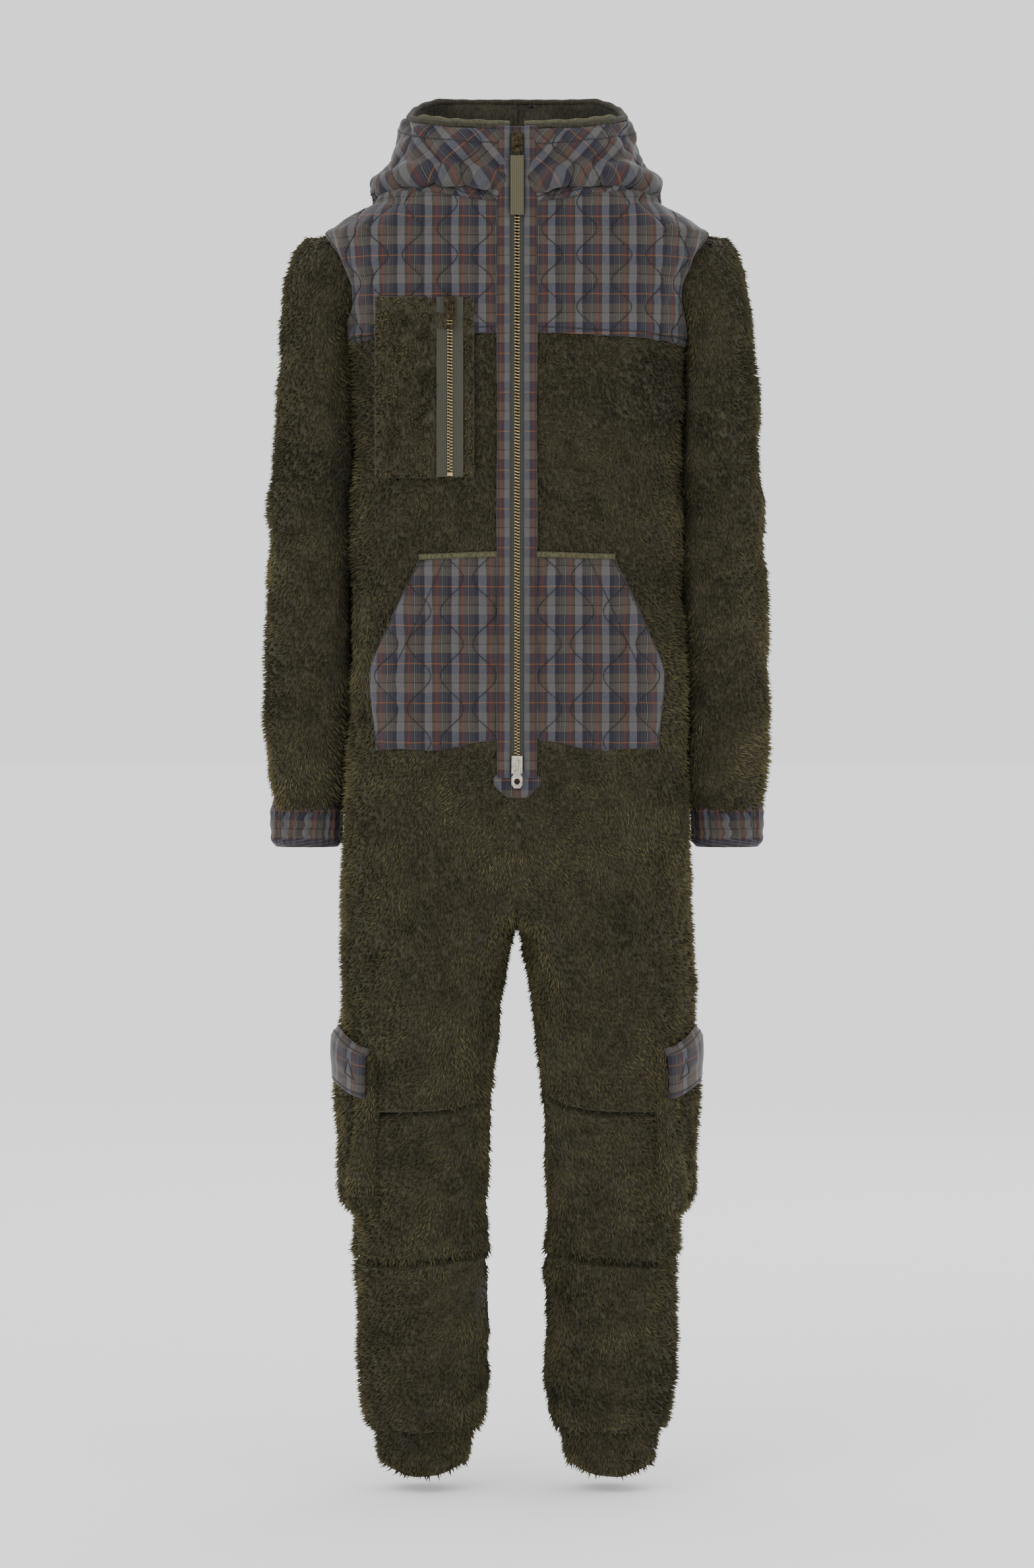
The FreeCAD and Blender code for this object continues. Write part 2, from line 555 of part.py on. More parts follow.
def slider(label, x, tape_front, foot):
    """A slider that straddles the teeth: a face plate, two sides down to the tape and a bored lug."""
    proud = "(dims.tooth_proud + dims.slider_clear)"
    face = f"{tape_front} - {proud} - dims.slider_plate"
    plate = boxed(label + "_plate", f"{x} - dims.slider_half", face, foot,
                  ("2 * dims.slider_half", "dims.slider_plate", "dims.slider_tall"), part=False)
    sides = [boxed(f"{label}_side_{name}", start, face, foot,
                   ("dims.slider_half - dims.slider_side", f"dims.slider_plate + {proud} - dims.gap",
                    "dims.slider_tall"), part=False)
             for name, start in (("left", f"{x} + dims.slider_side"), ("right", f"{x} - dims.slider_half"))]
    lug = boxed(label + "_lug", f"{x} - dims.lug_half", f"{face} - dims.lug_proud", f"{foot} + 6",
                ("2 * dims.lug_half", "dims.lug_proud", "dims.lug_tall"), part=False)
    hole = rod(label + "_eye", f"{x} - dims.slider_half", f"{face} - dims.lug_proud / 2", f"{foot} + 10.5",
               "2 * dims.slider_half", "dims.lug_hole")
    bored(label, joined(label + "_body", [plate, *sides, lug]), hole)
    return f"{face} - dims.lug_proud / 2", f"{foot} + 10.5"


def link(label, x, y, z, link_foot):
    """A pull's metal link: a pin through the lug, an arm each side of it and a bar across below."""
    pin = rod(label + "_pin", f"{x} - dims.arm_out", y, z, "2 * dims.arm_out", "dims.pin")
    arms = [boxed(f"{label}_arm_{name}", start, f"{y} - dims.arm_half", link_foot,
                  ("dims.arm_out - dims.arm_in", "2 * dims.arm_half", f"{z} + dims.arm_half - ({link_foot})"),
                  part=False)
            for name, start in (("left", f"{x} + dims.arm_in"), ("right", f"{x} - dims.arm_out"))]
    bar = boxed(label + "_bar", f"{x} - dims.arm_out", f"{y} - dims.arm_half", link_foot,
                ("2 * dims.arm_out", "2 * dims.arm_half", f"{z} - dims.link_reach - ({link_foot})"), part=False)
    return [pin, *arms, bar]


def main_slider():
    y, z = slider("main_slider", "0", "(dims.front_plane + dims.tape_sunk)", "dims.main_slider_z")
    foot = f"{z} - dims.link_reach - dims.link_long"
    joined("main_pull_link", link("main_pull_link", "0", y, z, foot), part=True)
    boxed("main_pull_tab", "-dims.webbing_half", f"{y} - dims.webbing_thick / 2", f"{foot} - dims.webbing_long",
          ("2 * dims.webbing_half", "dims.webbing_thick", "dims.webbing_long"))


def ring_pull(label, x, tape_front, slider_foot):
    """A slider with a flat ring for a pull, its lower end rounded off."""
    y, z = slider(label + "_slider", x, tape_front, slider_foot)
    foot = f"{z} - dims.link_reach - 3"
    pieces = link(label + "_ring_link", x, y, z, foot)
    half = "dims.ring_half"
    outline = [(f"{x} - dims.arm_out", foot), (f"{x} + dims.arm_out", foot), (f"{x} + {half}", f"{foot} - 5"),
               (f"{x} + {half}", f"{foot} - dims.ring_long + 4"),
               (f"{x} + dims.arm_out", f"{foot} - dims.ring_long"),
               (f"{x} - dims.arm_out", f"{foot} - dims.ring_long"),
               (f"{x} - {half}", f"{foot} - dims.ring_long + 4"), (f"{x} - {half}", f"{foot} - 5")]
    plate = outline_pad(label + "_ring_plate", outline, f"{y} + dims.ring_thick / 2", "dims.ring_thick",
                        hole=(x, f"{foot} - dims.ring_long / 2 - 1"))
    parts.remove(plate)
    joined(label + "_ring", [*pieces, plate], part=True)


# ---------- neck tape and hanger loop ----------

def neck_fittings():
    wall = "(dims.hood_back - dims.quilt - dims.lining - dims.neck_tape_thick - 6)"
    boxed("neck_tape", "-dims.neck_tape_half", wall, "dims.neck_level + 2",
          ("2 * dims.neck_tape_half", "dims.neck_tape_thick", "dims.neck_tape_tall"))
    front, level = f"{wall} - dims.loop_stand - dims.loop_thick", "dims.neck_level + 4"
    strap = boxed("hanger_loop_strap", "-dims.loop_half", front, level,
                  ("2 * dims.loop_half", "dims.loop_thick", "dims.loop_tall"), part=False)
    feet = [boxed(f"hanger_loop_foot_{name}", start, front, level,
                  ("dims.loop_foot", "dims.loop_stand + dims.loop_thick", "dims.loop_tall"), part=False)
            for name, start in (("left", "dims.loop_half - dims.loop_foot"), ("right", "-dims.loop_half"))]
    joined("hanger_loop", [strap, *feet], part=True)


torso_panels()
hood_pieces()
sleeve_pieces()
leg_pieces()
kangaroo_pocket()
chest_pocket()
cargo_pockets()
placket()
zips()
main_slider()
ring_pull("bottom", "0", "(dims.front_plane + dims.tape_sunk)", "dims.foot_slider_z")
ring_pull("chest", "dims.chest_zip_x", "(dims.front_plane - dims.patch_lift - dims.tape_thick)",
          "dims.chest_slider_z")
neck_fittings()

doc.recompute()
failed = [o.Label for o in doc.Objects if {"Invalid", "Error"} & set(o.State)]
if failed:
    raise RuntimeError("failed objects: " + ", ".join(failed))
os.makedirs("parts", exist_ok=True)
for piece in parts:
    shape = piece.Shape
    if shape.isNull() or not shape.isValid():
        raise RuntimeError("bad shape: " + piece.Label)
    shape.exportStep(f"parts/{piece.Label}.step")
    print(f"{piece.Label:24s} solids {len(shape.Solids)} volume {shape.Volume / 1000:8.1f} cm3")
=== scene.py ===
"""A hooded fleece jumpsuit with quilted plaid trim, dressed over its CAD frame.

Lengths are in millimetres until a mesh is made. The wearer's left is +X and the front faces -Y.
"""

import math

import bpy
import numpy as np
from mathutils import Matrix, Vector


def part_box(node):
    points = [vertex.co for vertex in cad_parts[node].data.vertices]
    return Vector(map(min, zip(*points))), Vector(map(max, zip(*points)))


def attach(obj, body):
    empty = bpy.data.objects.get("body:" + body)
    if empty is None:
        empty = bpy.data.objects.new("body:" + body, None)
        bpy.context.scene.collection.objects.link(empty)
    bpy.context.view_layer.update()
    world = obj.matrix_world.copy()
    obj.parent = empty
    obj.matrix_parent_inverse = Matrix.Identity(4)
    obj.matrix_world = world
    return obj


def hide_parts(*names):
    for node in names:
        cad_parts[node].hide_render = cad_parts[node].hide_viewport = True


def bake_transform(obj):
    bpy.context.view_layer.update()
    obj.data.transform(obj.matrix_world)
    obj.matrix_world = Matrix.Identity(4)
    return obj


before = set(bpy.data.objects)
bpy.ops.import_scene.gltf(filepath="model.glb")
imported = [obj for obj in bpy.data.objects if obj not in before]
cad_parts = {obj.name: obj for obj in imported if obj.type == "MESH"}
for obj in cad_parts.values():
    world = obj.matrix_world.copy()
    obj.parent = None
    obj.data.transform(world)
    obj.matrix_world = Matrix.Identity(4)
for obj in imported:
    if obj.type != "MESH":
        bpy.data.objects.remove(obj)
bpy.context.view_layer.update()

MM = 0.001
NAMES = {1: "left", -1: "right"}
FRONT = -107.0  # the flat front of the body and hood
SIDE = 8.0  # the plane of the side seams and sleeve centres
PILE_INSET = 4.0  # the fleece backing lies this far inside the tips of its pile
NECK = 1436.0  # where the hood meets the yoke at the zip
YOKE_FOOT = 1290.0  # the yoke's hem, and where its plaid is matched
POCKET_FOOT = 833.0  # where the plaid of the pocket and the placket is matched
KNEE_SEAM = 418.0  # the knee panel's upper seam at its lowest
SHIN_SEAM = 246.0  # the seam between the knee panel and the shin
CHAIN_PITCH = 3.5  # the teeth of a mid-size metal zip
BACKING_THICK = 5.0  # a fleece backing with the dense foot of its pile
ARMHOLE_Z = 1346.0
ARMHOLE_TALL = 60.0
ARMHOLE_DEEP = 70.0

# Camera ----------------------------------------------------------------------------------

LENS = 141.4
FAR = 7.0
EYE = 0.95
AIM = 0.783


def make_camera():
    """A long lens straight in front of the garment, at chest height."""
    data = bpy.data.cameras.new("camera")
    data.sensor_fit = "VERTICAL"
    data.sensor_height = 36.0
    data.lens = LENS
    data.clip_end = 60.0
    camera = bpy.data.objects.new("camera", data)
    bpy.context.scene.collection.objects.link(camera)
    camera.location = (0.0, -FAR, EYE)
    drop = math.atan2(EYE - AIM, FAR)
    camera.rotation_euler = (math.radians(90) - drop, 0.0, 0.0)
    bpy.context.scene.camera = camera


make_camera()

# Small helpers ---------------------------------------------------------------------------


def along(value, pairs):
    """A smooth value between (position, value) pairs, without overshoot."""
    places, values = np.array(sorted(map(tuple, pairs)), float).T
    steps = np.diff(places)
    slopes = np.diff(values) / steps
    tangent = np.empty_like(values)
    tangent[0] = slopes[0]
    tangent[-1] = slopes[-1]
    before, after = slopes[:-1], slopes[1:]
    turning = before * after <= 0
    mean = 2 * before * after / np.where(turning, 1.0, before + after)
    tangent[1:-1] = np.where(turning, 0.0, mean)
    value = np.clip(value, places[0], places[-1])
    i = np.clip(np.searchsorted(places, value, side="right") - 1, 0, len(steps) - 1)
    t = (value - places[i]) / steps[i]
    rise = t * t * (3 - 2 * t)
    bend = steps[i] * (tangent[i] * t * (1 - t) ** 2 - tangent[i + 1] * t * t * (1 - t))
    return values[i] * (1 - rise) + values[i + 1] * rise + bend


def smooth(value, low, high):
    """0 below low, 1 above high, and an easy rise between."""
    t = np.clip((value - low) / (high - low), 0.0, 1.0)
    return t * t * (3 - 2 * t)


def ripple(a, b, size, seed):
    """Soft, irregular waves between -1 and 1, about size across."""
    pick = np.random.default_rng(seed)
    total = 0.0
    for _ in range(7):
        angle = pick.uniform(0, 2 * math.pi)
        wave = pick.uniform(0.7, 1.5) * 2 * math.pi / size
        total = total + np.sin(wave * (a * math.cos(angle) + b * math.sin(angle)) + pick.uniform(0, 7))
    return total / 3.2


def normals_of(grid):
    """The way out of the cloth at each point of a grid."""
    out = np.cross(np.gradient(grid, axis=1), np.gradient(grid, axis=0))
    return out / np.maximum(np.linalg.norm(out, axis=2, keepdims=True), 1e-9)


def pushed(grid, height):
    """The grid moved out of the cloth by a height at each point."""
    height = np.broadcast_to(height, grid.shape[:2])
    return grid + normals_of(grid) * height[..., None]


# Materials -------------------------------------------------------------------------------


def linear(code):
    """An sRGB hex colour as linear red, green, blue and alpha."""
    parts = [int(code[i : i + 2], 16) / 255 for i in (1, 3, 5)]
    return tuple(c / 12.92 if c <= 0.04045 else ((c + 0.055) / 1.055) ** 2.4 for c in parts) + (1.0,)


def add(tree, kind, inputs=None, **settings):
    """Adds a node with its settings, and sets or links its inputs."""
    made = tree.nodes.new(kind)
    for key, value in settings.items():
        setattr(made, key, value)
    for key, value in (inputs or {}).items():
        if isinstance(value, bpy.types.NodeSocket):
            tree.links.new(value, made.inputs[key])
        else:
            made.inputs[key].default_value = value
    return made


def surface(name, roughness, metallic=0.0, **sockets):
    """A new material: its name, its node tree and its main shader."""
    made = bpy.data.materials.new(name)
    made.use_nodes = True
    tree = made.node_tree
    shader = tree.nodes["Principled BSDF"]
    shader.inputs["Roughness"].default_value = roughness
    shader.inputs["Metallic"].default_value = metallic
    for label, value in sockets.items():
        shader.inputs[label.replace("_", " ")].default_value = value
    return made, tree, shader


def ramp(tree, share, stops, hard=False):
    """A colour ramp over share, from (place, hex colour) stops."""
    made = add(tree, "ShaderNodeValToRGB", {"Fac": share})
    scale = made.color_ramp
    scale.interpolation = "CONSTANT" if hard else "LINEAR"
    while len(scale.elements) < len(stops):
        scale.elements.new(0.5)
    for element, (place, code) in zip(scale.elements, stops):
        element.position = place
        element.color = linear(code)
    return made.outputs["Color"]


def noise(tree, place, size, detail=2.0):
    """Noise whose blotches are about size millimetres across."""
    made = add(tree, "ShaderNodeTexNoise", {"Vector": place, "Scale": 1 / (size * MM), "Detail": detail})
    return made.outputs["Fac"]


def mix(tree, share, first, second, blend="MIX"):
    """One colour over another."""
    made = add(tree, "ShaderNodeMix", {0: share, 6: first, 7: second}, data_type="RGBA", blend_type=blend)
    return made.outputs[2]


def bumped(tree, shader, height, strength, depth):
    """Relief of depth millimetres on a shader."""
    bump = add(tree, "ShaderNodeBump", {"Height": height, "Strength": strength, "Distance": depth * MM})
    tree.links.new(bump.outputs["Normal"], shader.inputs["Normal"])


def fleece_pile(name, root, middle, tip, brown):
    """Polyester high-pile fleece: matt locks, darker at the root, with brushed patches and painted light and
    shade multiplied in.
    """
    tint = linear("#8a866e")
    made, tree, shader = surface(name, 0.92, Sheen_Weight=0.12, Sheen_Roughness=0.6, Sheen_Tint=tint)
    shader.inputs["Specular IOR Level"].default_value = 0.22
    place = add(tree, "ShaderNodeTexCoord").outputs["Object"]
    up = add(tree, "ShaderNodeAttribute", attribute_name="tip").outputs["Fac"]
    lock = noise(tree, place, 5.0, 1.0)
    lifted = add(tree, "ShaderNodeMath", {0: lock, 1: 0.9, 2: -0.45}, operation="MULTIPLY_ADD")
    share = add(tree, "ShaderNodeMath", {0: up, 1: lifted.outputs[0]}, operation="ADD")
    colour = ramp(tree, share.outputs[0], [(0.02, root), (0.42, middle), (0.95, tip)])
    patch = noise(tree, place, 55.0, 3.0)
    patch = add(tree, "ShaderNodeMapRange", {0: patch, 1: 0.42, 2: 0.62}).outputs[0]
    small = noise(tree, place, 22.0, 2.0)
    small = add(tree, "ShaderNodeMapRange", {0: small, 1: 0.35, 2: 0.65, 3: 0.62, 4: 1.12}).outputs[0]
    half = add(tree, "ShaderNodeMath", {0: patch, 1: 0.3}, operation="MULTIPLY").outputs[0]
    colour = mix(tree, half, colour, linear(brown))
    colour = mix(tree, 1.0, colour, small, "MULTIPLY")
    # Painted light and shade from each lock's root, multiplied into the colour.
    painted_shading = add(tree, "ShaderNodeAttribute", attribute_name="painted_shading").outputs["Fac"]
    colour = mix(tree, 1.0, colour, painted_shading, "MULTIPLY")
    tree.links.new(colour, shader.inputs["Base Color"])
    return made


def fleece_backing(name, dark, light):
    """The dense foot of the pile, seen as dark gaps between the locks."""
    made, tree, shader = surface(name, 0.96, Sheen_Weight=0.05)
    place = add(tree, "ShaderNodeTexCoord").outputs["Object"]
    flow = add(tree, "ShaderNodeMapping", {"Vector": place, "Scale": (1.0, 1.0, 0.35)}).outputs[0]
    strand = noise(tree, flow, 2.2, 3.0)
    colour = ramp(tree, strand, [(0.35, dark), (0.68, light)])
    tree.links.new(colour, shader.inputs["Base Color"])
    bumped(tree, shader, strand, 0.7, 2.0)
    return made


WARP = (
    (1.2, "#602616"),
    (4.2, "#352922"),
    (8.0, "#525153"),
    (5.0, "#231b1f"),
    (1.6, "#35302b"),
    (0.7, "#141114"),
    (2.4, "#35302b"),
    (0.8, "#0b0a0d"),
    (0.7, "#626160"),
    (0.8, "#0b0a0d"),
    (4.8, "#3a2e27"),
)
WEFT = (
    (1.3, "#6a421d"),
    (10.0, "#161b2f"),
    (1.3, "#1b1522"),
    (9.7, "#48443e"),
    (1.3, "#151318"),
    (9.4, "#403b35"),
    (10.4, "#161a2b"),
)


def stripes(tree, place, bands):
    """Hard-edged stripes of woven colour, whose widths are in millimetres."""
    period = sum(width for width, _ in bands)
    turns = add(tree, "ShaderNodeMath", {0: place, 1: 1 / (period * MM)}, operation="MULTIPLY")
    share = add(tree, "ShaderNodeMath", {0: turns.outputs[0]}, operation="FRACT").outputs[0]
    stops, reached = [], 0.0
    for width, code in bands:
        stops.append((reached / period, code))
        reached += width
    return ramp(tree, share, stops, hard=True)


def brushed_plaid(name, turn=0.0):
    """Brushed cotton twill, yarn dyed: warp and weft show through each other equally."""
    made, tree, shader = surface(name, 0.88, Sheen_Weight=0.15, Sheen_Roughness=0.5)
    shader.inputs["Specular IOR Level"].default_value = 0.25
    flat = add(tree, "ShaderNodeUVMap", uv_map="UVMap").outputs[0]
    flat = add(tree, "ShaderNodeMapping", {"Vector": flat, "Rotation": (0, 0, math.radians(turn))}).outputs[0]
    sway = noise(tree, flat, 30.0, 1.0)
    sway = add(tree, "ShaderNodeMath", {0: sway, 1: 1.6 * MM}, operation="MULTIPLY").outputs[0]
    axes = add(tree, "ShaderNodeSeparateXYZ", {0: flat})
    across = add(tree, "ShaderNodeMath", {0: axes.outputs[0], 1: sway}, operation="ADD").outputs[0]
    up = add(tree, "ShaderNodeMath", {0: axes.outputs[1], 1: sway}, operation="ADD").outputs[0]
    warp = stripes(tree, across, WARP)
    weft = stripes(tree, up, WEFT)
    # Twill threads are 0.4 mm apart; drawn at 0.9 mm so that they show.
    thread = add(tree, "ShaderNodeMapping", {"Vector": flat, "Scale": (1.0, 0.3, 1.0)}).outputs[0]
    warp_share = add(
        tree, "ShaderNodeMapRange", {0: noise(tree, thread, 0.9, 1.0), 1: 0.3, 2: 0.7, 3: 0.44, 4: 0.7}
    )
    colour = mix(tree, warp_share.outputs[0], weft, warp)
    slub = add(tree, "ShaderNodeMapRange", {0: noise(tree, flat, 3.0, 3.0), 3: 0.82, 4: 1.12}).outputs[0]
    colour = mix(tree, 1.0, colour, slub, "MULTIPLY")
    tree.links.new(colour, shader.inputs["Base Color"])
    bumped(tree, shader, noise(tree, thread, 1.1, 2.0), 0.35, 0.3)
    return made


def woven_band(name, dark, light, rib, roughness):
    """Woven polyester band: ribs run along its length, with a herringbone sheen painted into its colour over
    a matching bump.
    """
    made, tree, shader = surface(name, roughness, Sheen_Weight=0.1)
    place = add(tree, "ShaderNodeTexCoord").outputs["Object"]
    axes = add(tree, "ShaderNodeSeparateXYZ", {0: place})
    rib_turns, pick_turns = 2 * math.pi / (rib * MM), 2 * math.pi / (1.3 * MM)
    ribs = add(tree, "ShaderNodeMath", {0: axes.outputs[0], 1: rib_turns}, operation="MULTIPLY")
    ribs = add(tree, "ShaderNodeMath", {0: ribs.outputs[0]}, operation="SINE").outputs[0]
    steps = add(tree, "ShaderNodeMath", {0: axes.outputs[2], 1: pick_turns}, operation="MULTIPLY")
    steps = add(tree, "ShaderNodeMath", {0: steps.outputs[0], 1: ribs}, operation="ADD")
    steps = add(tree, "ShaderNodeMath", {0: steps.outputs[0]}, operation="SINE").outputs[0]
    both = add(tree, "ShaderNodeMath", {0: ribs, 1: steps}, operation="ADD").outputs[0]
    share = add(tree, "ShaderNodeMapRange", {0: both, 1: -2.0, 2: 2.0}).outputs[0]
    # The herringbone sheen, painted into the colour.
    tree.links.new(ramp(tree, share, [(0.2, dark), (0.85, light)]), shader.inputs["Base Color"])
    bumped(tree, shader, share, 0.5, 0.3)
    return made


def plated_metal(name, dark, light, roughness):
    """Cast zip metal with a plated finish: lighter and rougher in soft random blotches, darker and glossier
    between them.
    """
    made, tree, shader = surface(name, roughness, 1.0)
    place = add(tree, "ShaderNodeTexCoord").outputs["Object"]
    cloud = noise(tree, place, 4.0, 3.0)
    tree.links.new(ramp(tree, cloud, [(0.3, dark), (0.7, light)]), shader.inputs["Base Color"])
    rough = add(tree, "ShaderNodeMapRange", {0: cloud, 3: roughness - 0.08, 4: roughness + 0.1}).outputs[0]
    tree.links.new(rough, shader.inputs["Roughness"])
    bumped(tree, shader, noise(tree, place, 0.6, 2.0), 0.25, 0.05)
    return made


PILE = fleece_pile("polyester_fleece_pile", "#242012", "#454029", "#5f5b40", "#453b2a")
CURLY_PILE = fleece_pile("polyester_fleece_pile_curly", "#221e10", "#4c462d", "#6b6446", "#4a3e2b")
BACKING = fleece_backing("polyester_fleece_backing", "#1c190d", "#3c3723")
LINING_BACKING = fleece_backing("polyester_lining_fleece", "#1c190e", "#353122")
LIP_BACKING = fleece_backing("polyester_lip_fleece", "#3a3722", "#545138")
PLAID = brushed_plaid("brushed_cotton_plaid")
PLAID_BIAS = brushed_plaid("brushed_cotton_plaid_bias", 45.0)
THREAD = surface("polyester_sewing_thread_black", 0.6)[0]
THREAD.node_tree.nodes["Principled BSDF"].inputs["Base Color"].default_value = linear("#17161a")
MAIN_TAPE = woven_band("woven_zip_tape_olive", "#1e2019", "#33352a", 1.9, 0.8)
CHEST_TAPE = woven_band("woven_zip_tape_sage", "#242319", "#3a392b", 2.3, 0.78)
WEBBING = woven_band("woven_webbing_olive", "#36341f", "#4f4b32", 2.2, 0.75)
BRASS = plated_metal("die_cast_brass_plate", "#8a7048", "#c9b386", 0.32)
BRONZE = plated_metal("antique_bronze_plate", "#1f1b14", "#463d2e", 0.4)
NICKEL = plated_metal("satin_nickel_plate", "#8f897e", "#c4beb2", 0.3)

# Meshes from grids -----------------------------------------------------------------------


def mesh_piece(name, places, faces, flat, paint):
    """A smooth-shaded object in metres. flat is each face corner's place on the cut cloth."""
    mesh = bpy.data.meshes.new(name)
    mesh.from_pydata((np.asarray(places) * MM).tolist(), [], faces)
    layer = mesh.uv_layers.new(name="UVMap")
    layer.data.foreach_set("uv", (np.asarray(flat) * MM).astype(np.float32).ravel())
    mesh.materials.append(paint)
    mesh.polygons.foreach_set("use_smooth", [True] * len(mesh.polygons))
    piece = bpy.data.objects.new(name, mesh)
    bpy.context.scene.collection.objects.link(piece)
    return piece


def rim_of(rows, columns, closed):
    """The runs of grid places round a cloth's edge, each with the step that leads inwards."""
    if closed:
        wrap = list(range(columns)) + [0]
        return [([(0, j) for j in wrap], (1, 0)), ([(rows - 1, j) for j in wrap[::-1]], (-1, 0))]
    return [
        ([(0, j) for j in range(columns)], (1, 0)),
        ([(i, columns - 1) for i in range(rows)], (0, -1)),
        ([(rows - 1, j) for j in range(columns - 1, -1, -1)], (-1, 0)),
        ([(i, 0) for i in range(rows - 1, -1, -1)], (0, 1)),
    ]


def shell(name, grid, flat, thick, paint, side=1, closed=False):
    """A closed sheet of cloth: an outer face, an inner one and a rounded edge between them."""
    rows, columns = grid.shape[:2]
    wide = np.concatenate([grid, grid[:, :1]], 1) if closed else grid
    out = normals_of(wide)
    if closed:
        out[:, 0] = out[:, 0] + out[:, -1]
        out = out[:, :-1] / np.linalg.norm(out[:, :-1], axis=2, keepdims=True)
    inner = grid - out * np.broadcast_to(thick, grid.shape[:2])[..., None]
    places = [grid.reshape(-1, 3), inner.reshape(-1, 3)]
    layer = rows * columns
    faces, corners = [], []
    last = columns if closed else columns - 1
    for i in range(rows - 1):
        for j in range(last):
            k = (j + 1) % columns
            quad = [(i, j, j), (i, k, j + 1), (i + 1, k, j + 1), (i + 1, j, j)]
            faces.append([a * columns + b for a, b, _ in quad])
            corners.append([flat[a, c] for a, _, c in quad])
            faces.append([layer + a * columns + b for a, b, _ in quad[::-1]])
            corners.append([flat[a, c] for a, _, c in quad[::-1]])
    edge, made = {}, 2 * layer
    for run, (di, dj) in rim_of(rows, columns, closed):
        for i, j in run:
            if (i, j) in edge:
                continue
            away = grid[i, j] - grid[i + di, (j + dj) % columns]
            away = away / max(np.linalg.norm(away), 1e-9)
            half = (grid[i, j] + inner[i, j]) / 2
            reach = np.linalg.norm(grid[i, j] - inner[i, j]) * 0.4
            places.append((half + away * reach)[None])
            edge[i, j] = made
            made += 1
        for (a, b), (c, d) in zip(run, run[1:]):
            first, second = a * columns + b, c * columns + d
            spot = [flat[a, b], flat[a, b], flat[c, d], flat[c, d]]
            faces.append([first, edge[a, b], edge[c, d], second])
            corners.append(spot)
            faces.append([edge[a, b], layer + first, layer + second, edge[c, d]])
            corners.append(spot)
    places = np.concatenate(places) * (side, 1, 1)
    if side < 0:
        faces = [face[::-1] for face in faces]
        corners = [spot[::-1] for spot in corners]
    return mesh_piece(name, places, faces, np.array(corners).reshape(-1, 2), paint)


def panel(grid, flat, side=1, closed=False, joins=""):
    """What stitching and pile need to know about a face of cloth; joins is an end with no seam."""
    out = normals_of(grid)
    return {"grid": grid, "flat": flat, "out": out, "side": side, "closed": closed, "joins": joins}


def lengths(grid):
    """Each grid point's place on the flat cloth: across its row, and up its column."""
    across = np.linalg.norm(np.diff(grid, axis=1), axis=2)
    across = np.concatenate([np.zeros((grid.shape[0], 1)), np.cumsum(across, 1)], 1)
    up = np.linalg.norm(np.diff(grid, axis=0), axis=2)
    up = np.concatenate([np.zeros((1, grid.shape[1])), np.cumsum(up, 0)], 0)
    return np.stack([across, up], -1)


def edge_room(flat, closed=False, joins=""):
    """How far each point of a panel is from its nearest edge, in millimetres."""
    u, v = flat[..., 0], flat[..., 1]
    first = abs(v - v[:1]) + 1e3 * (joins == "first")
    room = np.minimum(first, abs(v[-1:] - v) + 1e3 * (joins == "last"))
    if closed:
        return room
    return np.minimum(room, np.minimum(abs(u - u[:, :1]), abs(u[:, -1:] - u)))


# Repeats made with geometry nodes --------------------------------------------------------

SOCKETS = {float: "NodeSocketFloat", int: "NodeSocketInt", bpy.types.Material: "NodeSocketMaterial"}


def new_tree(name, **sizes):
    """A geometry node tree with named inputs."""
    tree = bpy.data.node_groups.new(name, "GeometryNodeTree")
    tree.interface.new_socket("Geometry", in_out="INPUT", socket_type="NodeSocketGeometry")
    tree.interface.new_socket("Geometry", in_out="OUTPUT", socket_type="NodeSocketGeometry")
    for label, value in sizes.items():
        tree.interface.new_socket(label, in_out="INPUT", socket_type=SOCKETS[value])
    inputs = add(tree, "NodeGroupInput").outputs
    return tree, inputs


def close_tree(tree, shape, paint):
    """Ends a tree in Realize Instances and Set Material."""
    real = add(tree, "GeometryNodeRealizeInstances", {"Geometry": shape})
    done = add(tree, "GeometryNodeSetMaterial", {"Geometry": real.outputs[0], "Material": paint})
    add(tree, "NodeGroupOutput", {0: done.outputs[0]})


def grown(name, source, tree, soft=True, **values):
    """The plain mesh that a tree makes from a source mesh."""
    carrier = bpy.data.objects.new(name + "_source", source)
    bpy.context.scene.collection.objects.link(carrier)
    modifier = carrier.modifiers.new("grow", "NODES")
    modifier.node_group = tree
    for item in tree.interface.items_tree:
        if item.in_out == "INPUT" and item.name in values:
            modifier[item.identifier] = values[item.name]
    bpy.context.view_layer.update()
    ready = carrier.evaluated_get(bpy.context.evaluated_depsgraph_get())
    mesh = bpy.data.meshes.new_from_object(ready)
    mesh.name = name
    bpy.data.objects.remove(carrier)
    mesh.polygons.foreach_set("use_smooth", [soft] * len(mesh.polygons))
    piece = bpy.data.objects.new(name, mesh)
    bpy.context.scene.collection.objects.link(piece)
    return piece


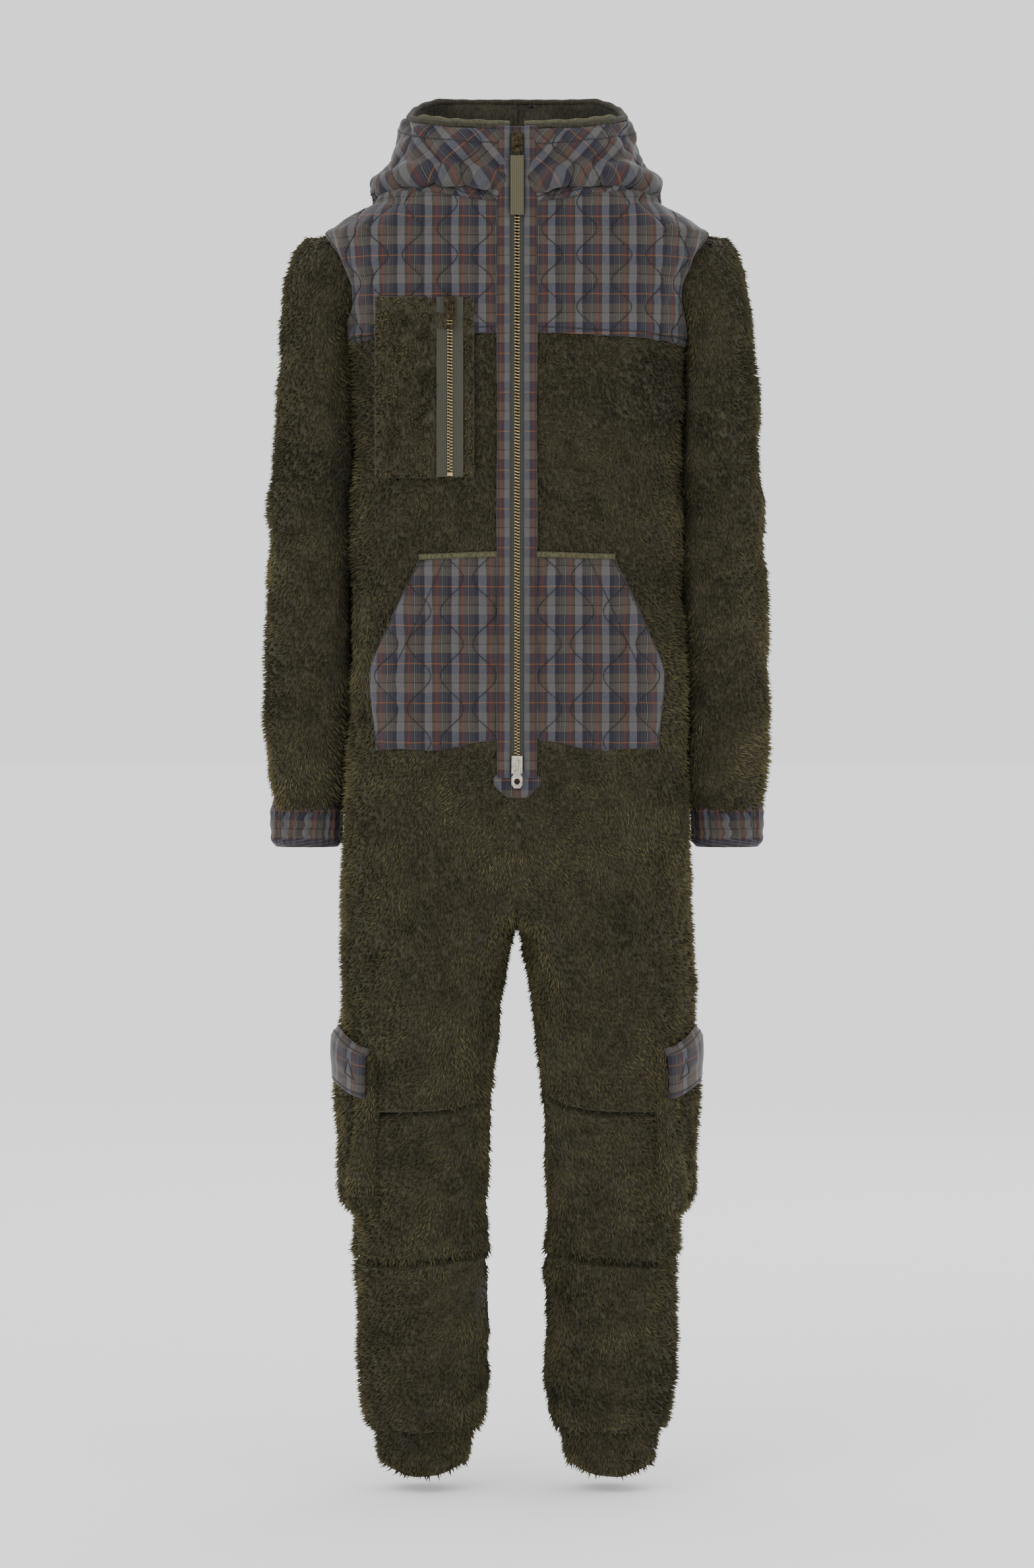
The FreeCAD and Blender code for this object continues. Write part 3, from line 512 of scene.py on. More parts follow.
def pile_tree():
    """Locks of pile: bent three-sided cones, lying along the cloth's own lay."""
    sizes = dict.fromkeys(("Density", "Length", "Width", "Rise", "Mess"), float)
    tree, given = new_tree("pile", **sizes, Seed=int, Paint=bpy.types.Material)
    cover = add(tree, "GeometryNodeInputNamedAttribute", {"Name": "cover"}, data_type="FLOAT")
    often = add(tree, "ShaderNodeMath", {0: given["Density"], 1: cover.outputs[0]}, operation="MULTIPLY")
    spots = add(
        tree,
        "GeometryNodeDistributePointsOnFaces",
        {"Mesh": given["Geometry"], "Density": often.outputs[0], "Seed": given["Seed"]},
    )
    lay = add(tree, "GeometryNodeInputNamedAttribute", {"Name": "lay"}, data_type="FLOAT_VECTOR")
    stray = add(
        tree,
        "FunctionNodeRandomValue",
        {0: (-1, -1, -1), 1: (1, 1, 1), "Seed": given["Seed"]},
        data_type="FLOAT_VECTOR",
    )
    stray = add(
        tree, "ShaderNodeVectorMath", {0: stray.outputs[0], "Scale": given["Mess"]}, operation="SCALE"
    )
    rise = add(
        tree, "ShaderNodeVectorMath", {0: spots.outputs["Normal"], "Scale": given["Rise"]}, operation="SCALE"
    )
    way = add(tree, "ShaderNodeVectorMath", {0: lay.outputs[0], 1: stray.outputs[0]}, operation="ADD")
    way = add(tree, "ShaderNodeVectorMath", {0: way.outputs[0], 1: rise.outputs[0]}, operation="ADD")
    turn = add(tree, "FunctionNodeAlignRotationToVector", {"Vector": way.outputs[0]}, axis="Z")
    turn = add(
        tree,
        "FunctionNodeAlignRotationToVector",
        {"Rotation": turn.outputs[0], "Vector": spots.outputs["Normal"]},
        axis="X",
        pivot_axis="Z",
    )
    lock = add(
        tree,
        "GeometryNodeMeshCone",
        {
            "Vertices": 3,
            "Side Segments": 2,
            "Radius Top": 0.0,
            "Radius Bottom": given["Width"],
            "Depth": given["Length"],
        },
        fill_type="NONE",
    )
    place = add(tree, "GeometryNodeInputPosition").outputs[0]
    height = add(tree, "ShaderNodeSeparateXYZ", {0: place}).outputs[2]
    tip = add(tree, "ShaderNodeMath", {0: height, 1: given["Length"]}, operation="DIVIDE").outputs[0]
    sag = add(tree, "ShaderNodeMath", {0: tip, 1: 2.0}, operation="POWER").outputs[0]
    sag = add(tree, "ShaderNodeMath", {0: sag, 1: given["Length"]}, operation="MULTIPLY").outputs[0]
    sag = add(tree, "ShaderNodeMath", {0: sag, 1: 0.22}, operation="MULTIPLY").outputs[0]
    shift = add(tree, "ShaderNodeCombineXYZ", {0: sag}).outputs[0]
    marked = add(
        tree,
        "GeometryNodeStoreNamedAttribute",
        {"Geometry": lock.outputs["Mesh"], "Name": "tip", "Value": tip},
        data_type="FLOAT",
    )
    bent = add(tree, "GeometryNodeSetPosition", {"Geometry": marked.outputs[0], "Offset": shift})
    size = add(tree, "FunctionNodeRandomValue", {2: 0.6, 3: 1.25, "Seed": given["Seed"]}, data_type="FLOAT")
    many = add(
        tree,
        "GeometryNodeInstanceOnPoints",
        {
            "Points": spots.outputs["Points"],
            "Instance": bent.outputs[0],
            "Rotation": turn.outputs[0],
            "Scale": size.outputs[1],
        },
    )
    close_tree(tree, many.outputs[0], given["Paint"])
    return tree


def stitch_tree():
    """Running stitches: short rods laid end to end along the sewing lines."""
    tree, given = new_tree("stitches", Pitch=float, Length=float, Radius=float, Paint=bpy.types.Material)
    line = add(tree, "GeometryNodeMeshToCurve", {0: given["Geometry"]})
    line = add(
        tree, "GeometryNodeResampleCurve", {"Curve": line.outputs[0], "Length": given["Pitch"]}, mode="LENGTH"
    )
    rod = add(
        tree,
        "GeometryNodeMeshCylinder",
        {"Vertices": 5, "Radius": given["Radius"], "Depth": given["Length"]},
    )
    way = add(tree, "GeometryNodeInputTangent").outputs[0]
    turn = add(tree, "FunctionNodeAlignRotationToVector", {"Vector": way}, axis="Z")
    many = add(
        tree,
        "GeometryNodeInstanceOnPoints",
        {"Points": line.outputs[0], "Instance": rod.outputs[0], "Rotation": turn.outputs[0]},
    )
    close_tree(tree, many.outputs[0], given["Paint"])
    return tree


PILE_TREE = pile_tree()
STITCH_TREE = stitch_tree()


def teeth_tree():
    """One side of a metal zip: clamped teeth along a line, each with a narrower head."""
    tree, given = new_tree("zip_teeth", Pitch=float, Reach=float, Tall=float, Paint=bpy.types.Material)
    line = add(tree, "GeometryNodeMeshToCurve", {0: given["Geometry"]})
    line = add(
        tree, "GeometryNodeResampleCurve", {"Curve": line.outputs[0], "Length": given["Pitch"]}, mode="LENGTH"
    )
    size = add(tree, "ShaderNodeCombineXYZ", {0: given["Reach"], 1: 2.2 * MM, 2: given["Tall"]}).outputs[0]
    counts = {"Vertices X": 4, "Vertices Y": 3, "Vertices Z": 2}
    body = add(tree, "GeometryNodeMeshCube", {"Size": size, **counts})
    place = add(tree, "GeometryNodeInputPosition").outputs[0]
    axes = add(tree, "ShaderNodeSeparateXYZ", {0: place})
    inward = add(tree, "ShaderNodeMath", {0: axes.outputs[0], 1: given["Reach"]}, operation="DIVIDE")
    inward = add(tree, "ShaderNodeMath", {0: inward.outputs[0], 1: 0.5}, operation="ADD").outputs[0]
    slim = add(tree, "ShaderNodeMapRange", {0: inward, 3: 0.55, 4: 1.0}).outputs[0]
    crown = add(tree, "ShaderNodeMath", {0: axes.outputs[1]}, operation="ABSOLUTE").outputs[0]
    crown = add(tree, "ShaderNodeMapRange", {0: crown, 1: 0.0, 2: 1.1 * MM, 3: 1.0, 4: 0.86}).outputs[0]
    tall = add(tree, "ShaderNodeMath", {0: slim, 1: crown}, operation="MULTIPLY").outputs[0]
    tall = add(tree, "ShaderNodeMath", {0: tall, 1: axes.outputs[2]}, operation="MULTIPLY").outputs[0]
    moved = add(tree, "ShaderNodeCombineXYZ", {0: axes.outputs[0], 1: axes.outputs[1], 2: tall}).outputs[0]
    shaped = add(tree, "GeometryNodeSetPosition", {"Geometry": body.outputs[0], "Position": moved})
    many = add(
        tree, "GeometryNodeInstanceOnPoints", {"Points": line.outputs[0], "Instance": shaped.outputs[0]}
    )
    close_tree(tree, many.outputs[0], given["Paint"])
    return tree


TEETH_TREE = teeth_tree()


def teeth_row(node, centre_x, side, slot):
    """The teeth on one side of a zip, in place of its plain CAD comb."""
    low, high = (np.array(corner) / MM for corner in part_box(node))
    reach = 3.3
    x = centre_x + side * (reach / 2 - 0.4)
    foot = low[2] + (1.9 if side > 0 else 3.65)
    y = (low[1] + high[1]) / 2
    source = bpy.data.meshes.new(node)
    ends = [(side * x * MM, y * MM, foot * MM), (side * x * MM, y * MM, (high[2] - 1.2) * MM)]
    source.from_pydata(ends, [(0, 1)], [])
    sizes = {"Pitch": CHAIN_PITCH * MM, "Reach": reach * MM, "Tall": 1.55 * MM}
    piece = grown(node + "_row", source, TEETH_TREE, soft=False, **sizes, Paint=BRASS)
    for point in piece.data.vertices:
        point.co.x *= side
    if side < 0:
        piece.data.flip_normals()
    mount(piece, "garment", slot, node)


def on_panel(cloth, u, v):
    """The point of a panel at a place on its flat cloth and the way out there, or None outside it."""
    flat, grid, out = cloth["flat"], cloth["grid"], cloth["out"]
    rows, columns = grid.shape[:2]
    i, j = rows / 2.0, columns / 2.0
    for _ in range(8):
        a = int(min(max(j, 0), columns - 2))
        column = flat[:, a, 1] * (1 - j + a) + flat[:, a + 1, 1] * (j - a)
        i = float(np.interp(v, column, range(rows)))
        b = int(min(max(i, 0), rows - 2))
        row = flat[b, :columns, 0] * (1 - i + b) + flat[b + 1, :columns, 0] * (i - b)
        j = float(np.interp(u, row, range(columns)))
    if not (0 < i < rows - 1 and 0 < j < columns - 1):
        return None
    a, b = int(j), int(i)
    s, t = j - a, i - b
    weights = (
        (b, a, (1 - s) * (1 - t)),
        (b, a + 1, s * (1 - t)),
        (b + 1, a, (1 - s) * t),
        (b + 1, a + 1, s * t),
    )
    place = sum(grid[r, c] * w for r, c, w in weights)
    way = sum(out[r, c] * w for r, c, w in weights)
    return place, way


def stitched(name, cloth, lines, body, slot, pitch=3.1, length=2.6, radius=0.58):
    """Rows of stitches along lines drawn on a panel's flat cloth."""
    places, edges = [], []
    for line in lines:
        previous = None
        for u, v in line:
            found = on_panel(cloth, u, v)
            if found is None:
                previous = None
                continue
            place, way = found
            places.append((place + way * 0.25) * (cloth["side"], 1, 1) * MM)
            if previous is not None:
                edges.append((previous, len(places) - 1))
            previous = len(places) - 1
    source = bpy.data.meshes.new(name)
    source.from_pydata([tuple(p) for p in places], edges, [])
    piece = grown(
        name, source, STITCH_TREE, Pitch=pitch * MM, Length=length * MM, Radius=radius * MM, Paint=THREAD
    )
    mount(piece, body, slot)


# Painted shade and light on the pile by height: darkest over the chest, lightest round the hips.
PAINTED_SHADE_BY_HEIGHT = (
    (0, 1.0), (250, 0.96), (420, 1.1), (600, 1.06), (760, 1.2), (950, 1.0), (1200, 0.76), (1420, 0.92),
)


def painted_pile_light(cloth, grid, side, seed):
    """Painted light and shade on the pile: painted highlights beside seams and a painted sheen at the sides,
    as pile brushed flat looks paler; painted patches of brushed shading; painted shading across the sleeves
    and by height; painted shadow in the seams.
    """
    x, z = grid[..., 0] * side, grid[..., 2]
    room = np.broadcast_to(edge_room(cloth["flat"], cloth["closed"], cloth["joins"]), grid.shape[:2])
    sideways = 1 - abs(normals_of(grid)[..., 1])
    # A painted highlight beside each seam, and a painted sheen where the cloth faces sideways.
    painted_shading = 0.86 + 0.3 * np.exp(-room / 13.0) + 0.2 * sideways**1.3
    along_y = grid[..., 1] * 0.8
    # Painted patches of light and shade, as pile brushed different ways catches the light differently.
    painted_shading = painted_shading + 0.26 * ripple(x + along_y, z, 170.0, seed) + 0.18 * ripple(x - along_y, z, 75.0, seed + 3)
    painted_shading = painted_shading + 0.12 * ripple(x + along_y, z, 32.0, seed + 7)
    # Painted shading across the sleeves, lighter at the outer side and darker towards the body; then painted
    # shadow in the seams.
    sleeve = smooth(x, 200, 212) * (0.5 * smooth(x, 224, 280) - 0.26)
    painted_shading = painted_shading + sleeve - 0.5 * np.exp(-((room / 2.8) ** 2))
    return np.clip(painted_shading * along(z, PAINTED_SHADE_BY_HEIGHT), 0.35, 1.6)


def piled(name, cloth, lay, body, density=84000.0, length=8.0, width=1.22, rise=0.6, mess=0.42,
          paint=PILE, cover=None, seed=1):
    """A coat of pile on a panel. lay is the way that the pile is brushed."""
    grid, side = cloth["grid"], cloth["side"]
    if cloth["closed"]:
        grid = np.concatenate([grid, grid[:, :1]], 1)
    rows, columns = grid.shape[:2]
    faces = []
    for i in range(rows - 1):
        for j in range(columns - 1):
            a = i * columns + j
            quad = [a, a + 1, a + columns + 1, a + columns]
            faces.append(quad if side > 0 else quad[::-1])
    source = bpy.data.meshes.new(name)
    places = grid.reshape(-1, 3) * (side, 1, 1)
    source.from_pydata((places * MM).tolist(), [], faces)
    swirl = ripple(places[:, 0] + 0.4 * places[:, 1], places[:, 2], 260.0, 5 + seed) * 0.5
    swirl = swirl + ripple(places[:, 0], places[:, 2], 70.0, 9 + seed) * 0.3
    way = np.broadcast_to(np.array(lay, float) * (side, 1, 1), places.shape).copy()
    turned = np.stack([way[:, 0] + swirl * -way[:, 2], way[:, 1], way[:, 2] + swirl * way[:, 0]], 1)
    source.attributes.new("lay", "FLOAT_VECTOR", "POINT").data.foreach_set("vector", turned.ravel())
    # shade holds the painted light and shade at each point, for the pile material to multiply in.
    shade = painted_pile_light(cloth, grid, side, seed).ravel()
    source.attributes.new("painted_shading", "FLOAT", "POINT").data.foreach_set("value", shade)
    shown = np.ones(len(places)) if cover is None else np.asarray(cover, float).ravel()
    source.attributes.new("cover", "FLOAT", "POINT").data.foreach_set("value", shown)
    piece = grown(
        name, source, PILE_TREE, Density=density, Length=length * MM, Width=width * MM, Rise=rise,
        Mess=mess, Seed=seed, Paint=paint,
    )
    mount(piece, body, "plush_fleece")


# How pieces move -------------------------------------------------------------------------


def mount(piece, motion, slot, *stands_for):
    """The piece rides on a body, or stays where it is with its transform baked in when given two, and stands
    for its CAD nodes.
    """
    if isinstance(motion, str):
        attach(piece, motion)
    else:
        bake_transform(piece)
    if stands_for:
        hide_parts(*stands_for)


def hip(side):
    """Cloth between the body and a thigh; the centre seam stays closed."""
    return "garment", "upper_leg_" + NAMES[side], (0, 0, 0.615), (side * 0.10, 0, 0.50)


def knee(side):
    """Cloth between a thigh and a shin."""
    return "upper_leg_" + NAMES[side], "lower_leg_" + NAMES[side], (0, 0, 0.335), (0, 0, 0.225)


def shoulder(side):
    """Cloth between the armhole seam and the upper sleeve."""
    start = (side * 0.183, 0, 1.290)
    return "garment", "upper_sleeve_" + NAMES[side], start, (start[0] + side * 0.036, 0, 1.277)


def elbow(side):
    """Cloth between the upper and the lower sleeve."""
    return "upper_sleeve_" + NAMES[side], "lower_sleeve_" + NAMES[side], (0, 0, 1.11), (0, 0, 1.01)


# The body's outline ----------------------------------------------------------------------

WIDTH = (
    (0, 150), (20, 158), (50, 163), (60, 168), (76, 175), (110, 181), (212, 182), (279, 185), (369, 192),
    (450, 197), (504, 200), (580, 201), (640, 199), (700, 197), (780, 195), (900, 190), (1020, 187),
    (1150, 188),
    (1290, 189), (1344, 192), (1360, 197), (1380, 203), (1396, 211), (1406, 216), (1412, 203), (1418, 192),
    (1426, 177), (1432, 166), (1437, 157),
)
INSEAM = (
    (0, 62), (20, 54), (50, 49), (60, 44), (76, 36), (110, 31), (279, 32), (369, 31), (414, 28), (504, 20),
    (549, 14), (594, 7), (621, 2), (656, 0), (700, 0),
)
FRONT_FACE = (
    (0, -50), (55, -58), (76, -68), (100, -74), (279, -80), (369, -86), (504, -96), (600, -105), (640, -107),
    (1500, -107),
)
BACK_FACE = (
    (0, 56), (55, 64), (76, 72), (100, 78), (279, 84), (369, 88), (504, 98), (600, 106), (640, 116),
    (780, 120), (900, 112), (1020, 106), (1150, 112), (1290, 121), (1372, 121), (1406, 112), (1436, 98),
)
CORNER_WIDE = ((0, 48), (55, 58), (100, 70), (279, 74), (420, 78), (560, 84), (660, 74), (1436, 72))
CORNER_DEEP = ((0, 52), (55, 60), (100, 74), (279, 80), (420, 88), (560, 92), (660, 80), (1436, 80))
INNER_WIDE = ((0, 46), (55, 56), (100, 70), (279, 72), (420, 74), (540, 74), (621, 34), (656, 0), (1436, 0))
CROTCH_TOP, CROTCH = 656.0, 621.0


def half_section(share, inner, outer, face, start, curl, corner, deep, stop):
    """A point part of the way along half a section: the inner side, the face, then the outer side."""
    toward = np.sign(SIDE - face)
    rise = 0.92 * start
    a = start - rise
    b = math.pi / 4 * (curl + rise)
    c = np.maximum(outer - corner - inner - curl, 0)
    turn = np.arccos(np.clip(1 - stop / deep, 0, 1))
    d = turn * (corner + deep) / 2
    e = np.maximum(stop - deep, 0)
    s = share * (a + b + c + d + e)
    in_turn = np.clip((s - a) / np.maximum(b, 1e-6), 0, 1) * math.pi / 2
    out_turn = np.clip((s - a - b - c) / np.maximum(d, 1e-6), 0, 1) * turn
    x = inner + curl * (1 - np.cos(in_turn)) + np.clip(s - a - b, 0, c)
    x = np.where(s > a + b + c, outer - corner + corner * np.sin(out_turn), x)
    depth = start - np.minimum(s, a) - rise * np.sin(in_turn)
    depth = np.where(s > a + b, deep * (1 - np.cos(out_turn)) + np.clip(s - a - b - c - d, 0, None), depth)
    return x, face + toward * depth, s


def outline(turn, height, widths=WIDTH, slit=0.0, armhole=False, faces=(FRONT_FACE, BACK_FACE)):
    """A point of the left half: turn runs 0 to 1 over the front, and on to 2 at the centre back."""
    turn, height = np.broadcast_arrays(np.asarray(turn, float), np.asarray(height, float))
    back = turn > 1
    share = np.where(back, 2 - turn, turn)
    face = np.where(back, along(height, faces[1]), along(height, faces[0]))
    outer = along(height, widths)
    inner = along(height, INSEAM) + np.where(back, 0, slit)
    reach = np.clip((CROTCH_TOP - height) / (CROTCH_TOP - CROTCH), 0, 1)
    span = abs(SIDE - face)
    start = span * (1 - np.sqrt(1 - reach**2))
    curl = along(height, INNER_WIDE)
    corner = np.minimum(along(height, CORNER_WIDE), outer - inner - curl)
    deep = np.minimum(along(height, CORNER_DEEP), 0.97 * span)
    stop = span
    if armhole:
        rise = np.clip((height - ARMHOLE_Z) / ARMHOLE_TALL, -1, 1)
        stop = span - ARMHOLE_DEEP * np.sqrt(1 - rise**2)
    x, y, s = half_section(share, inner, outer, face, start, curl, corner, deep, stop)
    return np.stack([x, y, height], -1), np.where(back, -s, s)


def shares(count):
    """Evenly spaced shares from 0 to 1."""
    return np.linspace(0, 1, count)


# Fleece body, legs and sleeves -----------------------------------------------------------

KNEE_LINE = ((0, 441), (0.25, 424), (0.45, 418), (0.75, 416), (1.0, 420), (2.0, 420))
YOKE_HEM = ((0, 1297), (0.5, 1290), (0.8, 1283), (1.0, 1280), (1.3, 1284), (2.0, 1290))
TORSO_LEVELS = np.concatenate(
    [
        np.linspace(KNEE_SEAM, 596, 24, endpoint=False),
        CROTCH_TOP - (CROTCH_TOP - CROTCH) * np.sin(np.linspace(math.pi / 2, 0, 16)),
        np.linspace(664, 1292, 76),
    ]
)


def body_folds(grid, side, back):
    """Slack in the hanging fleece: broad swells, and pulls from the underarm and crotch."""
    x, z = grid[..., 0], grid[..., 2]
    swell = 2.6 * ripple(x, z, 190.0, 3 + side + 5 * back) + 1.3 * ripple(x, z, 75.0, 8 + side + 5 * back)
    pull = 4.0 * np.exp(-(((x - 60) * 0.7 - (700 - z)) / 22) ** 2)
    pull = pull * smooth(x, 20, 60) * (1 - smooth(x, 130, 175))
    waist = 2.5 * np.sin((z - 0.25 * x) / 26) * np.exp(-(((z - 1075) / 70) ** 2)) * smooth(x, 110, 170)
    room = 1.0 if back else smooth(x, 28, 80)
    return (swell + pull + waist) * room * smooth(z, 430, 500)


def torso_panel(side, back):
    """One half of the body from under the yoke to the knee seam, front or back."""
    turns = (shares(44)[None] + (1.0 if back else 0.0)) * np.ones((len(TORSO_LEVELS), 1))
    levels = TORSO_LEVELS[:, None] * np.ones_like(turns)
    knee_lift = (along(turns, KNEE_LINE) - KNEE_SEAM) * (1 - smooth(levels, KNEE_SEAM, 540))
    hem_lift = (along(turns, YOKE_HEM) + 6 - 1292) * smooth(levels, 1180, 1292)
    heights = levels + knee_lift + hem_lift
    slit = 0.0 if back else 12.0 * smooth(heights, 782, 800)
    grid, _ = outline(turns, heights, slit=slit)
    grid = pushed(grid, body_folds(grid, side, back) - PILE_INSET)
    if not back:
        grid[:, 0, 0] = np.where(heights[:, 0] > CROTCH, slit[:, 0], grid[:, 0, 0])
    else:
        grid[:, -1, 0] = np.where(heights[:, -1] > CROTCH, 0.0, grid[:, -1, 0])
    return grid


KANGAROO_EDGE = ((824, 158), (905, 166), (958, 147), (1038, 109))
KANGAROO_QUILT = (36.5, 13.0, 73.0)


def covered(grid, side):
    """1 where the front's pile shows, 0 where a pocket or the placket covers it."""
    x, z = grid[..., 0], grid[..., 2]
    width = along(z, KANGAROO_EDGE)
    pocket = (z > 829) & (z < 1034) & (x < width - 4)
    flap = (x < 20) & (z > 790)
    chest = (side < 0) & (z > 1136) & (z < 1324) & (x > 55) & (x < 152)
    tab = (x < 24) & (z > 774) & (z <= 795)
    return np.where(pocket | flap | chest | tab, 0.0, 1.0)


def make_body(side):
    """The front and back of one half of the body, down to the knee seam."""
    name = NAMES[side]
    parts = (("front", False, "yoke_front_" + name, 11), ("back", True, "yoke_back", 14))
    for part, back, yoke, seed in parts:
        grid = torso_panel(side, back)
        flat = lengths(grid)
        piece = shell("fleece_" + part + "_" + name, grid, flat, BACKING_THICK, BACKING, side)
        nodes = ["body_" + part + "_" + name, "thigh_" + part + "_" + name]
        mount(piece, hip(side), "plush_fleece", *nodes)
        cloth = panel(grid, flat, side)
        cover = None if back else covered(grid, side)
        lay = (0.42, 0, -0.85)
        piled("pile_" + part + "_" + name, cloth, lay, hip(side), cover=cover, seed=seed + side)


def lower_leg(side):
    """The leg below the knee seam: knee panel, shin and back, gathered into the cuff."""
    name = NAMES[side]
    turns = np.linspace(0, 2, 96)[None, :-1]
    parts = (("knee_panel", SHIN_SEAM, KNEE_SEAM, 22), ("shin", 52.0, SHIN_SEAM, 30))
    for part, low, high, count in parts:
        levels = np.linspace(low, high, count)[:, None]
        sway = 5 * np.sin(turns * 5 + 1)
        if part == "knee_panel":
            heights = levels + (along(turns, KNEE_LINE) - 421) * smooth(levels, 330, KNEE_SEAM)
            heights = heights + sway * (1 - smooth(levels, SHIN_SEAM, 300))
        else:
            heights = levels + sway * smooth(levels, 190, SHIN_SEAM)
        grid, _ = outline(turns, heights)
        x, z = grid[..., 0], grid[..., 2]
        folds = 2.4 * ripple(x + 2 * grid[..., 1], z, 120.0, 21 + side) + 1.2 * ripple(x, z, 50.0, 25 + side)
        seam = -8.0 * np.exp(-(((levels - SHIN_SEAM) / 4.0) ** 2))
        seam = seam + 3.5 * np.exp(-(((levels - 256) / 7) ** 2))
        top = -7.5 * np.exp(-(((levels - KNEE_SEAM) / 6) ** 2)) if part == "knee_panel" else 0
        gather = 3.0 * smooth(96 - levels, 0, 40) * (0.4 + np.sin(turns * 26) * 0.6) if part == "shin" else 0
        over = 4.0 * (1 - smooth(levels, 56, 90))
        grid = pushed(grid, folds * smooth(levels, 60, 110) * 0.8 + seam + top + gather + over - PILE_INSET)
        flat = lengths(np.concatenate([grid, grid[:, :1]], 1))
        piece = shell(part + "_fleece_" + name, grid, flat, BACKING_THICK, BACKING, side, closed=True)
        nodes = ("knee_panel_" + name,) if part == "knee_panel" else ("shin_" + name,)
        mount(piece, knee(side), "plush_fleece", *nodes)
        cloth = panel(grid, flat, side, closed=True)
        piled(part + "_pile_" + name, cloth, (0.5, 0, -0.8), knee(side), seed=31 + side + count)


def ankle_cuff(side):
    """A short fleece cuff, drawn in above a rounded hem."""
    name = NAMES[side]
    turns = np.linspace(0, 2, 90)[None, :-1]
    levels = np.linspace(0, 66, 14)[:, None]
    grid, _ = outline(turns, levels)
    middle = 107.0
    reach = np.clip(abs(grid[..., 0] - middle) / 56.0, 0, 1)
    lift = 20.0 * reach**3 * (1 - levels / 66)
    grid, _ = outline(turns, levels + lift)
    tuck = -12.0 * smooth(levels, 46, 60) + 2.0 * np.sin(turns * 24) * (0.3 + 0.7 * levels / 66)
    grid = pushed(grid, tuck - PILE_INSET + 1.0)
    flat = lengths(np.concatenate([grid, grid[:, :1]], 1))
    piece = shell("ankle_fleece_" + name, grid, flat, BACKING_THICK, BACKING, side, closed=True)
    mount(piece, "lower_leg_" + name, "plush_fleece", "ankle_cuff_" + name)
    cloth = panel(grid, flat, side, closed=True)
    piled("ankle_pile_" + name, cloth, (0.12, 0, -1.0), "lower_leg_" + name, length=8.0, seed=51 + side)


# Each row: step, outer x and z, inner x and z, half depth.
SLEEVE = np.array(
    [
        (0, 216, 1406, 186, 1286, 70),
        (1, 234, 1406, 186, 1279, 75),
        (2, 249, 1393, 186, 1270, 80),
        (3, 261, 1358, 185, 1256, 84),
        (4, 266, 1314, 184, 1240, 86),
        (5, 269, 1264, 183, 1216, 85),
        (6, 274, 1205, 182, 1182, 82),
        (7, 278, 1134, 181, 1128, 79),
        (8, 283, 1050, 183, 1050, 76),
        (9, 286, 909, 183, 909, 64),
        (10, 288, 864, 185, 864, 60),
        (11, 285, 796, 190, 796, 56),
        (12, 280, 752, 196, 752, 48),
    ],
    float,
)


def sleeve_ring(step, angle):
    """A point of the left sleeve: angle 0 is its outer edge, and the quarter turn its front."""
    tx, tz, bx, bz, deep = (along(step, SLEEVE[:, (0, k)]) for k in range(1, 6))
    power = 2 / (2.0 + 0.35 * smooth(step, 0, 4))
    c = np.sign(np.cos(angle)) * abs(np.cos(angle)) ** power
    s = np.sign(np.sin(angle)) * abs(np.sin(angle)) ** power
    x = (tx + bx) / 2 + (tx - bx) / 2 * c
    z = (tz + bz) / 2 + (tz - bz) / 2 * c
    y = SIDE - deep * s
    seam_z = ARMHOLE_Z + ARMHOLE_TALL * np.cos(angle)
    seam_y = SIDE - ARMHOLE_DEEP * np.sin(angle)
    face = np.where(seam_y < SIDE, along(seam_z, FRONT_FACE), along(seam_z, BACK_FACE))
    depth = np.clip(abs(seam_y - face) / 80.0, 0, 1)
    seam_x = along(seam_z, WIDTH) - 72 + 72 * np.sqrt(1 - (1 - depth) ** 2)
    plain_x = (SLEEVE[0, 1] + SLEEVE[0, 3]) / 2 + (SLEEVE[0, 1] - SLEEVE[0, 3]) / 2 * np.cos(angle)
    shift = (seam_x - plain_x) * (1 - smooth(step, 0, 3))
    return np.stack([x + shift, y, z], -1)


def sleeve_folds(grid, steps, side):
    """Crushing at the inner elbow and below the shoulder."""
    x, y, z = grid[..., 0], grid[..., 1], grid[..., 2]
    swell = 2.6 * ripple(x + y, z, 150.0, 61 + side) + 1.4 * ripple(x - y, z, 60.0, 64 + side)
    elbow_creases = 2.6 * np.sin((z + 0.35 * x) / 12.5) * np.exp(-(((z - 1050) / 70) ** 2))
    return (swell + elbow_creases) * smooth(steps, 0.3, 2.0)


def make_sleeve(side):
    """A sleeve in two parts, which meet at the elbow with no seam."""
    name = NAMES[side]
    angles = np.linspace(0, 2 * math.pi, 73)[None, :-1]
    upper = np.concatenate([np.linspace(0, 4, 22, endpoint=False), np.linspace(4, 6.4, 16)])
    parts = (("upper", upper, shoulder(side)), ("lower", np.linspace(6.4, 12, 52), elbow(side)))
    for part, steps, motion in parts:
        steps = steps[:, None]
        grid = sleeve_ring(steps + 0 * angles, angles + 0 * steps)
        grid = pushed(grid, sleeve_folds(grid, steps, side) - PILE_INSET * smooth(steps, -0.5, 0.6))
        flat = lengths(np.concatenate([grid, grid[:, :1]], 1))
        title = "sleeve_" + part + "_fleece_" + name
        piece = shell(title, grid, flat, BACKING_THICK, BACKING, side, closed=True)
        mount(piece, motion, "plush_fleece", "sleeve_" + part + "_" + name)
        cloth = panel(grid, flat, side, closed=True, joins="last" if part == "upper" else "first")
        piled("sleeve_" + part + "_pile_" + name, cloth, (0.35, 0, -0.9), motion, seed=71 + side + len(steps))


